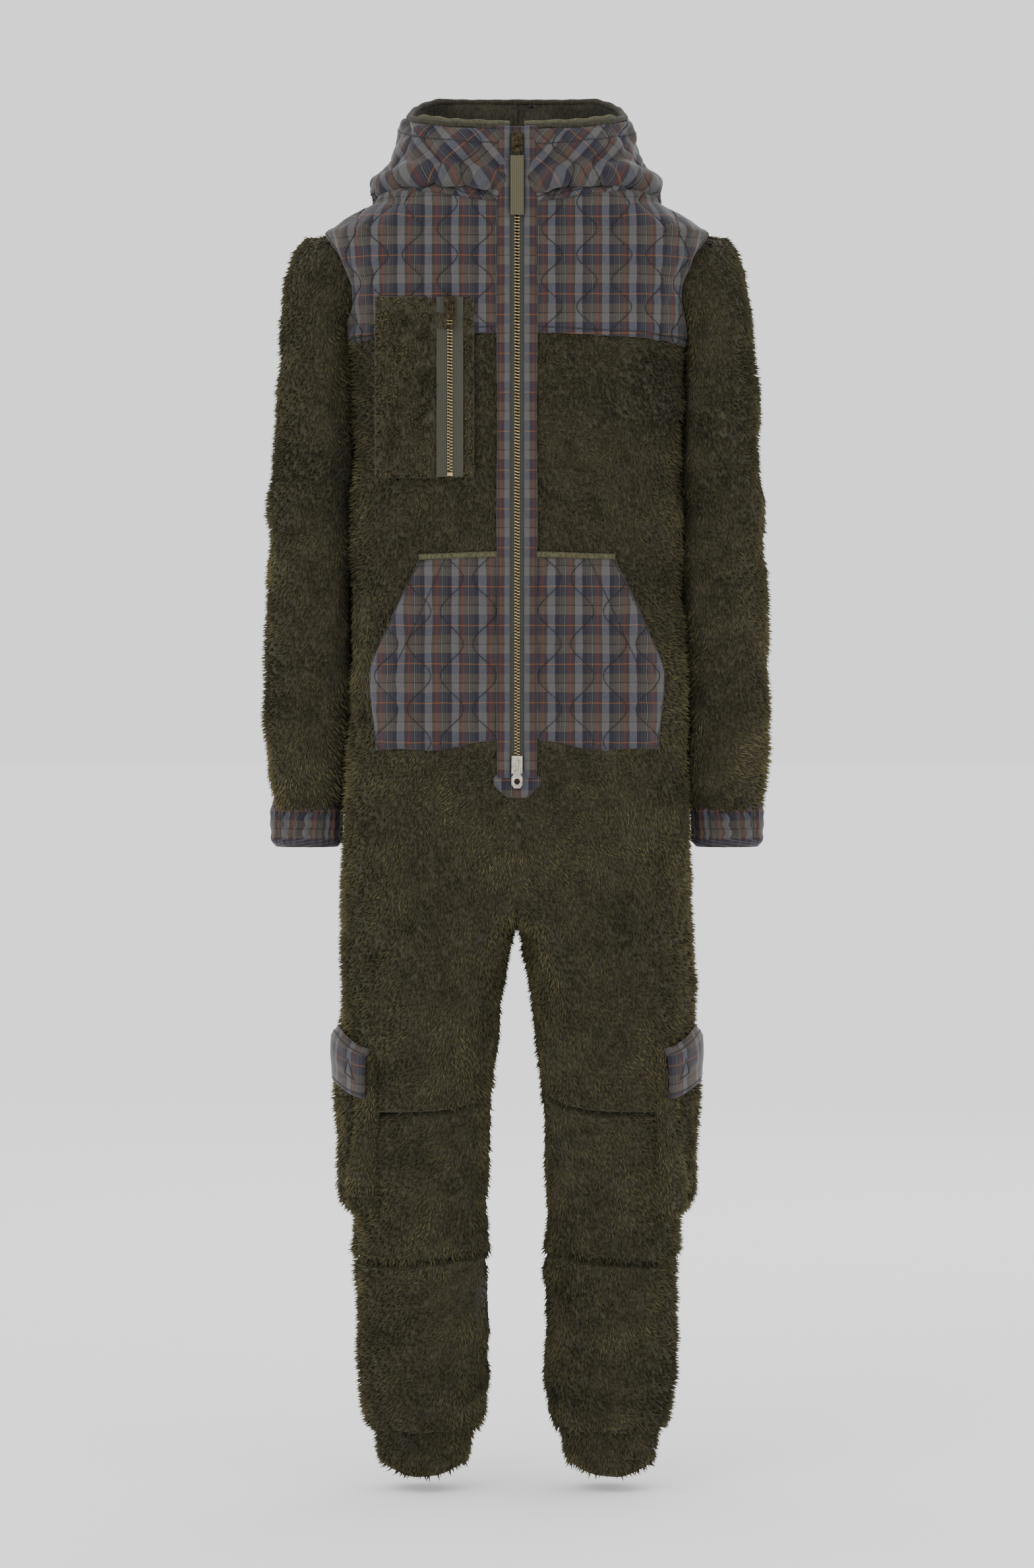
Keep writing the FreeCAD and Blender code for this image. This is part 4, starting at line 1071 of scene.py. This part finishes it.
def sleeve_cuff(side):
    """A plaid cuff, slightly gathered by the elastic inside it."""
    name = NAMES[side]
    angles = np.linspace(0, 2 * math.pi, 145)[None, :-1]
    levels = np.linspace(712, 762, 22)[:, None]
    wide = 39.0 + 1.5 * smooth(levels, 730, 762)
    deep = 43.0 + 2.0 * smooth(levels, 730, 762)
    c = np.sign(np.cos(angles)) * abs(np.cos(angles)) ** 0.8
    s = np.sign(np.sin(angles)) * abs(np.sin(angles)) ** 0.8
    z = levels + 0 * angles
    grid = np.stack([239 + wide * c, SIDE + deep * s, z], -1)
    crimp = 1.5 * np.sin(angles * 31 + 0.8 * np.sin(levels / 9)) + 1.0 * np.sin(angles * 13 + 1)
    roll = -3.5 * (1 - smooth(levels, 712, 719)) ** 2 - 3.5 * smooth(levels, 748, 762)
    band = 0.9 * np.sin((levels - 712) / 50 * math.pi * 3) ** 2
    grid = pushed(grid, crimp * smooth(levels, 712, 722) + roll + band)
    flat = lengths(np.concatenate([grid, grid[:, :1]], 1))
    piece = shell("sleeve_cuff_plaid_" + name, grid, flat, 4.0, PLAID, side, closed=True)
    mount(piece, "lower_sleeve_" + name, "quilted_plaid", "sleeve_cuff_" + name)


# Quilted plaid ---------------------------------------------------------------------------


def wave_row(k, v, spacing, swing, repeat):
    """Where the k-th wavy row of quilting crosses height v."""
    return k * spacing + (-1.0) ** k * swing * np.cos(2 * math.pi * v / repeat)


def quilted(grid, flat, spacing, swing, repeat, puff, seed, calm=1.0):
    """The grid with its wadding puffed up between rows of stitching."""
    u, v = flat[..., 0], flat[..., 1]
    k = np.arange(int(u.min() / spacing) - 2, int(u.max() / spacing) + 4)
    gap = u[..., None] - wave_row(k, v[..., None], spacing, swing, repeat)
    left = np.where(gap >= 0, gap, 1e9).min(-1)
    right = np.where(gap < 0, -gap, 1e9).min(-1)
    height = puff * (4 * left * right / (left + right) ** 2) ** 0.5
    height = height + puff * 0.28 * ripple(u, v, 26.0, seed)
    edge = np.clip(edge_room(flat) / 7.0, 0, 1)
    return pushed(grid, height * edge**0.6 * calm)


def quilt_rows(flat, spacing, swing, repeat):
    """The rows of quilting as lines on the flat cloth."""
    u, v = flat[..., 0], flat[..., 1]
    heights = np.arange(v.min(), v.max(), 2.0)
    count = range(int(u.min() / spacing) - 1, int(u.max() / spacing) + 2)
    return [[(wave_row(k, h, spacing, swing, repeat), h) for h in heights] for k in count]


def border_row(flat, edge, room):
    """A row of topstitching a little way inside the low, high or last edge of the flat cloth."""
    if edge == "low":
        return [(u, v + room) for u, v in flat[0]]
    if edge == "high":
        return [(u, v - room) for u, v in flat[-1]]
    return [(u - room, v) for u, v in flat[:, -1]]


YOKE_LEVELS = np.concatenate(
    [
        ARMHOLE_Z + ARMHOLE_TALL * np.sin(np.linspace(-1.15, math.pi / 2, 44)),
        np.linspace(1409, NECK, 11),
    ]
)
YOKE_QUILT = (39.0, 11.5, 58.0)


def yoke_grid(turns):
    """The yoke from its hem to the neck seam, cut away at the armhole."""
    levels = YOKE_LEVELS[:, None] + 0 * turns
    hem = (along(turns, YOKE_HEM) - 5 - YOKE_LEVELS[0]) * (1 - smooth(levels, YOKE_LEVELS[0], 1370))
    neck = (along(turns, HOOD_FOOT) - NECK) * smooth(levels, 1409, NECK)
    slit = np.where(turns > 1, 0.0, 12.0)
    grid, arc = outline(turns, levels + hem + neck, slit=slit, armhole=True)
    return grid, arc, levels + hem + neck


def make_yoke_front(side):
    """The plaid over one shoulder, from the zip to the armhole."""
    name = NAMES[side]
    turns = shares(76)[None] + 0 * YOKE_LEVELS[:, None]
    grid, arc, heights = yoke_grid(turns)
    flat = np.stack([arc + 12, heights - YOKE_FOOT], -1)
    beside_zip = smooth(grid[..., 0], 21, 34) * (1 - 0.8 * smooth(grid[..., 0], 188, 214))
    grid = quilted(grid, flat, *YOKE_QUILT, 3.8, 3 + side, beside_zip)
    hemmed = -1.2 * np.exp(-(((heights - heights[:1] - 6) / 1.6) ** 2))
    grid = pushed(grid, (hemmed + 0.5) * beside_zip)
    piece = shell("yoke_front_plaid_" + name, grid, flat, 4.0, PLAID, side)
    mount(piece, "garment", "quilted_plaid", "yoke_front_" + name)
    rows = quilt_rows(flat, *YOKE_QUILT) + [border_row(flat, "low", 6.0)]
    stitched("yoke_stitches_" + name, panel(grid, flat, side), rows, "garment", "quilted_plaid")


def make_yoke_back():
    """The plaid across the back of the shoulders, in one piece."""
    half = shares(70)[None] * 0.9999 + 1.0001 + 0 * YOKE_LEVELS[:, None]
    grid, arc, heights = yoke_grid(half)
    other = grid[:, ::-1] * (-1, 1, 1)
    grid = np.concatenate([grid, other[:, 1:]], 1)
    across = np.concatenate([arc, -arc[:, ::-1][:, 1:]], 1)
    heights = np.concatenate([heights, heights[:, ::-1][:, 1:]], 1)
    flat = np.stack([across, heights - YOKE_FOOT], -1)
    grid = quilted(grid, flat, *YOKE_QUILT, 3.6, 9)
    piece = shell("yoke_back_plaid", grid, flat, 4.0, PLAID)
    mount(piece, "garment", "quilted_plaid", "yoke_back")
    rows = quilt_rows(flat, *YOKE_QUILT) + [border_row(flat, "low", 6.0)]
    stitched("yoke_stitches_back", panel(grid, flat), rows, "garment", "quilted_plaid")


# Hood ------------------------------------------------------------------------------------

HOOD_WIDTH = (
    (1430, 160), (1442, 159), (1454, 155), (1474, 143), (1506, 131), (1536, 124), (1556, 116), (1574, 104),
)
HOOD_TOP = (
    (0, 1519), (0.3, 1521), (0.5, 1526), (0.7, 1532), (0.85, 1537), (1.0, 1542), (1.2, 1552), (1.45, 1562),
    (2.0, 1563),
)
HOOD_FOOT = ((0, 1436), (0.12, 1438), (0.35, 1446), (0.6, 1450), (0.85, 1445), (1.05, 1438), (2.0, 1436))
HOOD_FACES = (((1430, -107), (1600, -107)), ((1430, 97), (1470, 99), (1600, 97)))
HOOD_QUILT = (44.0, 12.0, 62.0)


def hood_grid(turns, rise):
    """The hood as it stands, from the neck seam to its edge."""
    low, high = along(turns, HOOD_FOOT), along(turns, HOOD_TOP)
    heights = low + (high - low) * rise
    slit = 8.0 * (turns < 1)
    return outline(turns, heights, widths=HOOD_WIDTH, slit=slit, faces=HOOD_FACES)


def hood_slump(grid, side):
    """Folds where the hood sinks over the neck seam: how far out, and how far they droop."""
    x, z = grid[..., 0], grid[..., 2]
    front = grid[..., 1] < 0
    arc = along(x, ((0, 1450), (22, 1451), (50, 1457), (113, 1460), (145, 1452), (158, 1440), (170, 1426)))
    fold = 11.0 * np.exp(-(((z - arc - 10) / 8) ** 2)) - 14.0 * np.exp(-(((z - arc + 2) / 4.6) ** 2))
    pinch = np.exp(-(((x - 46) / 20) ** 2))
    crumple = (2.6 + 5.0 * pinch) * np.sin(x / 5.8 + 1.8 * np.sin(z / 7 + side))
    crumple = crumple * np.exp(-(((z - 1457) / 10) ** 2))
    swell = 3.4 * ripple(x, z + grid[..., 1] * 0.6, 60.0, 41 + side)
    calm = np.where(front, smooth(x, 20, 36), 1.0)
    droop = 6.0 * np.exp(-(((z - arc - 5) / 5.5) ** 2)) * front * (1 - smooth(x, 140, 165)) * calm
    return ((fold + crumple) * front * (1 - 0.7 * smooth(x, 145, 168)) + swell) * calm, droop


def make_hood(side):
    """Half of the hood, with its stitching and what lines it."""
    name = NAMES[side]
    turns = np.linspace(0, 2, 210)[None] * np.ones((54, 1))
    rise = shares(54)[:, None] + 0 * turns
    grid, _ = hood_grid(turns, rise)
    flat = lengths(grid)
    inside = smooth(rise, 0, 0.06) * (1 - smooth(rise, 0.93, 1.0))
    slump, droop = hood_slump(grid, side)
    grid = pushed(grid, slump * inside) - (droop * inside)[..., None] * (0, 0, 1)
    grid = quilted(grid, flat, *HOOD_QUILT, 4.2, 15 + side)
    rolled = -2.6 * (smooth(rise, 0.955, 1.0)) ** 2
    grid = pushed(grid, rolled)
    flat_cut = flat if side > 0 else flat + (9.0, 4.0)  # the two halves are cut from different places
    grid[:, -1, 0] = 0.0
    piece = shell("hood_plaid_" + name, grid, flat_cut, 4.0, PLAID_BIAS, side)
    mount(piece, "garment", "quilted_plaid", "hood_" + name)
    rows = quilt_rows(flat, *HOOD_QUILT) + [border_row(flat, "high", 18.0), border_row(flat, "low", 5.0)]
    stitched("hood_stitches_" + name, panel(grid, flat, side), rows, "garment", "quilted_plaid")
    lining(side, name)


def lining(side, name):
    """The dark fleece inside the hood, and the paler roll of it that shows along the edge."""
    turns = np.linspace(0, 2, 90)[None] * np.ones((22, 1))
    rise = np.linspace(0.06, 1.0, 22)[:, None] + 0 * turns
    grid, _ = hood_grid(turns, rise)
    inside = smooth(rise, 0, 0.06) * (1 - smooth(rise, 0.93, 1.0))
    grid = pushed(grid, np.minimum(hood_slump(grid, side)[0], 2.0) * inside)
    uneven = 0.9 * ripple(grid[..., 0], grid[..., 2], 50.0, 4)
    grid = pushed(grid, -5.2 - 3.0 * (1 - smooth(rise, 0.8, 1.0)) + uneven)
    grid[:, -1, 0] = 0.0
    flipped = grid[:, ::-1]
    piece = shell("hood_lining_fleece_" + name, flipped, lengths(flipped), 2.0, LINING_BACKING, side)
    mount(piece, "garment", "hood_lining", "hood_lining_" + name)
    edge_roll("hood_edge_piping_" + name, side, 2.0, 2.6, 3.6, 3.6, LINING_BACKING, ("hood_edge_binding",))
    edge_roll("hood_front_lip_" + name, side, 0.72, 7.0, 2.6, 6.0, LIP_BACKING, ())


def edge_roll(name, side, reach, inset, thick, tall, paint, nodes):
    """A soft roll of fleece along the hood's edge, as far round as reach."""
    turns = np.linspace(0.0, reach, 130)[None]
    edge, _ = hood_grid(turns, np.ones_like(turns))
    ahead = np.gradient(edge[0], axis=0)
    ahead = ahead / np.linalg.norm(ahead, axis=1, keepdims=True)
    inward = np.cross(np.array([0, 0, 1.0]), ahead)
    inward = inward / np.linalg.norm(inward, axis=1, keepdims=True)
    end = smooth(reach - turns[0], 0, 0.22 * reach) if reach < 2 else np.ones(130)
    size = (1 + 0.1 * ripple(turns[0] * 150, 0 * turns[0], 25.0, 7)) * (0.25 + 0.75 * end)
    middle = edge[0] + inward * inset + np.array([0.0, 0.0, 1.0]) * (tall * 0.35 * size)[:, None]
    around = np.linspace(0, 2 * math.pi, 13)[:-1]
    wide = np.cos(around)[None, :, None] * thick * size[:, None, None]
    high = np.sin(around)[None, :, None] * tall * size[:, None, None]
    rings = middle[:, None] + inward[:, None] * wide + np.array([0, 0, 1.0]) * high
    piece = roll(rings, name, paint, side)
    mount(piece, "garment", "edge_binding", *(nodes if side > 0 else ()))


def roll(rings, name, paint, side=1):
    """A closed tube of cloth through rings of points, with its two ends capped."""
    count, across = rings.shape[:2]
    places = list(rings.reshape(-1, 3))
    faces = []
    for i in range(count - 1):
        for j in range(across):
            k = (j + 1) % across
            faces.append([i * across + j, i * across + k, (i + 1) * across + k, (i + 1) * across + j])
    for end, order in ((0, 1), (count - 1, -1)):
        places.append(rings[end].mean(0))
        hub = len(places) - 1
        for j in range(across):
            pair = [end * across + (j + 1) % across, end * across + j][::order]
            faces.append([hub] + pair)
    places = np.array(places) * (side, 1, 1)
    faces = [face[::-1] if side < 0 else face for face in faces]
    flat = np.zeros((sum(len(face) for face in faces), 2))
    return mesh_piece(name, places, faces, flat, paint)


# Pockets and placket ---------------------------------------------------------------------


def kangaroo_pocket(side):
    """A quilted pocket from the placket to the hip, with its slanted opening."""
    name = NAMES[side]
    u, v = np.meshgrid(shares(66), shares(88))
    edge = along(824 + v * 214, KANGAROO_EDGE)
    low = 834 - 10 * smooth(u, 0, 0.5) + 0.8 * np.sin(u * 9)
    high = 1041 - 3 * u
    z = low + (high - low) * v
    x = 21 + (edge - 21) * u
    flat = np.stack([x, z - POCKET_FOOT], -1)
    room = edge_room(np.stack([x, z], -1))
    proud = 2.5 + 5.5 * smooth(room, 0, 22) + 1.2 * ripple(x, z, 70.0, 5 + side)
    base = front_curve(side, x, z)
    grid = np.stack([x, base - proud, z], -1)
    grid = quilted(grid, flat, *KANGAROO_QUILT, 3.2, 33 + side)
    piece = shell("kangaroo_plaid_" + name, grid, flat, 3.0, PLAID, side)
    mount(piece, "garment", "quilted_plaid", "kangaroo_pocket_" + name)
    rows = quilt_rows(flat, *KANGAROO_QUILT)
    slant = [(80 + (138 - 80) * t, 206 - (206 - 80) * t) for t in shares(60)]
    rows = rows + [slant, border_row(flat, "last", 1.8)]
    cloth = panel(grid, flat, side)
    stitched("kangaroo_stitches_" + name, cloth, rows, "garment", "quilted_plaid", radius=0.5)
    lip_x = np.linspace(20, 110, 46)[None]
    turn = np.linspace(0, 2 * math.pi, 13)[:-1, None]
    z_lip = 1041.5 - 3 * (lip_x - 21) / 88
    rings = np.stack(
        [
            lip_x + 0 * turn,
            front_curve(side, lip_x, z_lip) - 2.5 - 3.0 * np.sin(turn),
            z_lip + 3.4 * np.cos(turn) + 1.2,
        ],
        -1,
    ).transpose(1, 0, 2)
    piece = roll(rings[:, ::-1], "kangaroo_facing_" + name, LIP_BACKING, side)
    mount(piece, "garment", "plush_fleece")


def front_curve(side, x, z):
    """The front of the fleece backing, smoothed from the body's own panel."""
    grid = FRONT_GRIDS[side]
    x, z = np.broadcast_arrays(x, z)
    found = np.empty(x.shape)
    levels = grid[:, 10, 2]
    for spot in np.ndindex(x.shape):
        i = float(np.interp(z[spot], levels, range(len(levels))))
        a = min(int(i), len(levels) - 2)
        ys = [np.interp(x[spot], grid[a + k, :, 0], grid[a + k, :, 1]) for k in (0, 1)]
        found[spot] = ys[0] * (1 - i + a) + ys[1] * (i - a)
    return found


def chest_pocket():
    """A fleece patch on the wearer's right chest, set a little proud of the body."""
    u, v = np.meshgrid(shares(44), shares(70))
    x, z = 49 + 109 * u, 1129 + 201 * v
    room = edge_room(np.stack([x, z], -1))
    y = -109.6 - 4.2 * smooth(room, 0, 12) + 3.0 * smooth(x, 125, 158) - 2.4 * smooth(z, 1285, 1300)
    y = y + 1.2 * ripple(x, z, 60.0, 5) + 3.0 * (1 - smooth(abs(x - 75), 15, 21))
    grid = np.stack([x, y, z], -1)
    flat = lengths(grid)
    piece = shell("chest_patch_fleece", grid, flat, 4.0, BACKING, -1)
    mount(piece, "garment", "plush_fleece", "chest_pocket")
    cover = np.where((x > 57) & (x < 93) & (z > 1134), 0.0, 1.0)
    curls = {"density": 80000.0, "length": 7.0, "width": 1.7, "rise": 0.8, "mess": 0.8, "paint": CURLY_PILE}
    cloth = panel(grid, flat, -1)
    piled("chest_patch_pile", cloth, (0.3, 0, -0.7), "garment", cover=cover, seed=103, **curls)


def placket(side):
    """A folded plaid strip beside the zip, mirrored on the other side."""
    name = NAMES[side]
    u, v = np.meshgrid(shares(11), shares(180))
    z = 793 + (1520 - 793) * v
    x = 8 + 14.5 * u + 0.5 * np.sin(z / 33) * u
    bulge = np.sin(math.pi * np.clip(u * 0.94 + 0.03, 0, 1)) ** 0.45
    y = -107.3 - 3.1 * bulge + 0.25 * np.sin(z / 9.0 + 3 * u)
    grid = np.stack([x, y, z], -1)
    flat = np.stack([22.5 - x + 26.3, z - POCKET_FOOT], -1)
    piece = shell("placket_plaid_" + name, grid, flat, 2.2, PLAID, side)
    mount(piece, "garment", "quilted_plaid", "placket_" + name)
    rows = [[(28.6, h) for h in np.arange(-38, 686, 3.0)]]
    ordered = panel(grid[:, ::-1], flat[:, ::-1], side)
    ordered["out"] = -ordered["out"]
    stitched("placket_stitches_" + name, ordered, rows, "garment", "quilted_plaid", radius=0.25)


def placket_tab():
    """The pointed plaid tab that closes the placket below the zip."""
    u, v = np.meshgrid(np.linspace(-1, 1, 31), shares(20))
    z = 770 + 34 * v
    half = along(z, ((770, 11), (778, 20), (786, 26), (792, 26.5), (798, 21), (804, 21.5)))
    x = half * u
    room = edge_room(np.stack([x, z], -1))
    y = -106.0 - 2.4 * smooth(room, 0, 5) + 1.8 * smooth(v, 0.75, 1.0)
    grid = np.stack([x, y, z], -1)
    flat = np.stack([x, z - POCKET_FOOT], -1)
    piece = shell("placket_tab_plaid", grid, flat, 2.0, PLAID)
    mount(piece, "garment", "quilted_plaid", "placket_end_tab")


def zip_guard():
    """The flap of cloth behind the main zip."""
    u, v = np.meshgrid(shares(9), shares(120))
    x = -21 + 42 * u
    z = 790 + 730 * v
    y = -98.4 + 0.6 * np.sin(z / 40) - 5.4 * smooth(z, 1480, 1508)
    grid = np.stack([x, y, z], -1)
    flat = np.stack([x + 30, z - POCKET_FOOT], -1)
    piece = shell("zip_guard_plaid", grid, flat, 1.6, PLAID)
    mount(piece, "garment", "quilted_plaid", "zip_guard")


# Cargo pockets ---------------------------------------------------------------------------


def side_turn(height, x_front, y_back):
    """The turns at which the leg's outline passes a place on its front and on its back."""
    turns = np.linspace(0.3, 1.7, 400)
    grid, _ = outline(turns, np.full(400, float(height)))
    first = turns[(grid[:, 0] >= x_front) & (turns <= 1)][0]
    back = turns[(grid[:, 1] <= y_back) | (turns <= 1)][-1]
    return first, back


def cargo_pocket(side):
    """A fleece bag on the outside of the leg, with a plaid flap over its mouth."""
    name = NAMES[side]
    levels = np.linspace(296, 492, 44)
    ends = np.array([side_turn(z, 158.0, 26.0) for z in levels])
    u = shares(44)[None]
    turns = ends[:, :1] + (ends[:, 1:] - ends[:, :1]) * u
    grid, _ = outline(turns, levels[:, None] + 0 * u)
    lift = along(levels, ((296, 11), (330, 15.5), (400, 13), (492, 8)))[:, None]
    room = edge_room(lengths(grid))
    crease = 181 + 4 * np.sin(grid[..., 2] / 40)
    folds = -5.5 * np.exp(-(((grid[..., 0] - crease) / 4.0) ** 2))
    folds = folds * smooth(room, 4, 20) * (grid[..., 1] < -20)
    folds = folds + 1.5 * np.sin(grid[..., 2] / 17 + 2 * u) * smooth(room, 4, 20)
    grid = pushed(grid, lift * smooth(room, -3, 13) - 4.5 + folds)
    flat = lengths(grid)
    piece = shell("cargo_fleece_" + name, grid, flat, 4.0, BACKING, side)
    mount(piece, knee(side), "plush_fleece", "cargo_pocket_" + name)
    cloth = panel(grid, flat, side)
    piled("cargo_pile_" + name, cloth, (0.4, 0, -0.9), knee(side), seed=111 + side)
    u, v = np.meshgrid(shares(34), shares(40))
    slant = smooth(u, 0.0, 0.6)
    z = (433 + 14 * slant) * (1 - v) + (487 + 21 * slant) * v
    ends = np.array([side_turn(h, 164.0, 26.0) for h in np.linspace(430, 516, 30)])
    first = np.interp(z, np.linspace(430, 516, 30), ends[:, 0])
    last = np.interp(z, np.linspace(430, 516, 30), ends[:, 1])
    turns = first + (last - first) * u
    grid, _ = outline(turns, z)
    room = edge_room(lengths(grid))
    out = 10.0 + 2.5 * (1 - smooth(v, 0.5, 1.0)) - 5.0 * smooth(v, 0.82, 1.0)
    grid = pushed(grid, out + 1.2 * smooth(room, 0, 10) + 0.6 * ripple(u * 60, v * 70, 30.0, 6))
    flat = lengths(grid)
    piece = shell("cargo_flap_plaid_" + name, grid, flat + (14, 7), 2.6, PLAID, side)
    mount(piece, "flap_" + name, "quilted_plaid", "cargo_flap_" + name)
    wide, tall = flat[20, -1, 0], flat[-1, 16, 1]
    corner = [(15, tall * 0.30), (27, tall * 0.62), (33, tall * 0.34), (15, tall * 0.30)]
    tack = [
        (a[0] + (b[0] - a[0]) * t, a[1] + (b[1] - a[1]) * t)
        for a, b in zip(corner, corner[1:])
        for t in np.linspace(0, 1, 8)
    ]
    rows = [border_row(flat, "low", 4.0), border_row(flat, "high", 7.0), tack]
    stitched("cargo_flap_stitches_" + name, panel(grid, flat, side), rows, "flap_" + name, "quilted_plaid")


# Dressing --------------------------------------------------------------------------------

FRONT_GRIDS = {side: torso_panel(side, False) for side in (1, -1)}

for side in (1, -1):
    make_yoke_front(side)

make_yoke_back()

for side in (1, -1):
    make_body(side)
    lower_leg(side)
    ankle_cuff(side)
    make_sleeve(side)
    sleeve_cuff(side)
    make_hood(side)
    kangaroo_pocket(side)
    placket(side)
    cargo_pocket(side)

for side in (1, -1):
    teeth_row("zip_teeth_" + NAMES[side], 0.0, side, "brass")
    teeth_row("chest_zip_teeth_" + NAMES[side], -75.0, side, "brass")

chest_pocket()
placket_tab()
zip_guard()

KEPT = {
    MAIN_TAPE: ("zip_tape_left", "zip_tape_right"),
    CHEST_TAPE: ("chest_zip_tape_left", "chest_zip_tape_right"),
    BRASS: ("zip_bottom_stop", "chest_zip_stop"),
    BRONZE: ("main_slider", "main_pull_link", "chest_slider", "chest_ring"),
    NICKEL: ("bottom_slider", "bottom_ring"),
    WEBBING: ("main_pull_tab", "neck_tape", "hanger_loop"),
}
for paint, names in KEPT.items():
    for name in names:
        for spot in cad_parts[name].material_slots:
            spot.material = paint
        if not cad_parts[name].material_slots:
            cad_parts[name].data.materials.append(paint)

# Floor and light -------------------------------------------------------------------------


def make_stage():
    """A wide, pale studio floor, just below the hems."""
    around = np.linspace(0, 2 * math.pi, 65)[:-1]
    places = [(40 * math.cos(a), 40 * math.sin(a), -0.02) for a in around]
    mesh = bpy.data.meshes.new("studio_floor")
    mesh.from_pydata(places, [], [list(range(64))])
    paint, tree, shader = surface("matt_studio_paper", 0.95)
    shader.inputs["Base Color"].default_value = linear("#f4f4f3")
    shader.inputs["Emission Color"].default_value = linear("#ffffff")
    shader.inputs["Emission Strength"].default_value = 0.2
    mesh.materials.append(paint)
    floor = bpy.data.objects.new("studio_floor", mesh)
    bpy.context.scene.collection.objects.link(floor)


def make_light(name, place, aim, size, power):
    """A large soft light."""
    data = bpy.data.lights.new(name, "AREA")
    data.shape = "RECTANGLE"
    data.size, data.size_y = size
    data.energy = power
    lamp = bpy.data.objects.new(name, data)
    bpy.context.scene.collection.objects.link(lamp)
    lamp.location = place
    away = np.array(place, float) - np.array(aim, float)
    flat = math.hypot(away[0], away[1])
    lamp.rotation_euler = (math.atan2(flat, away[2]), 0.0, math.atan2(away[1], away[0]) + math.pi / 2)


make_stage()
make_light("key_light", (-1.8, -3.8, 3.4), (0, 0, 0.9), (2.4, 2.4), 62.0)
make_light("fill_light", (2.8, -3.4, 1.6), (0, 0, 0.8), (2.4, 2.4), 12.0)
make_light("back_light", (1.5, 3.8, 3.2), (0, 0, 0.9), (2.4, 2.4), 40.0)

world = bpy.data.worlds.new("studio_air")
bpy.context.scene.world = world
world.use_nodes = True
air = world.node_tree.nodes["Background"]
air.inputs["Color"].default_value = linear("#f6f7f8")
air.inputs["Strength"].default_value = 1.5
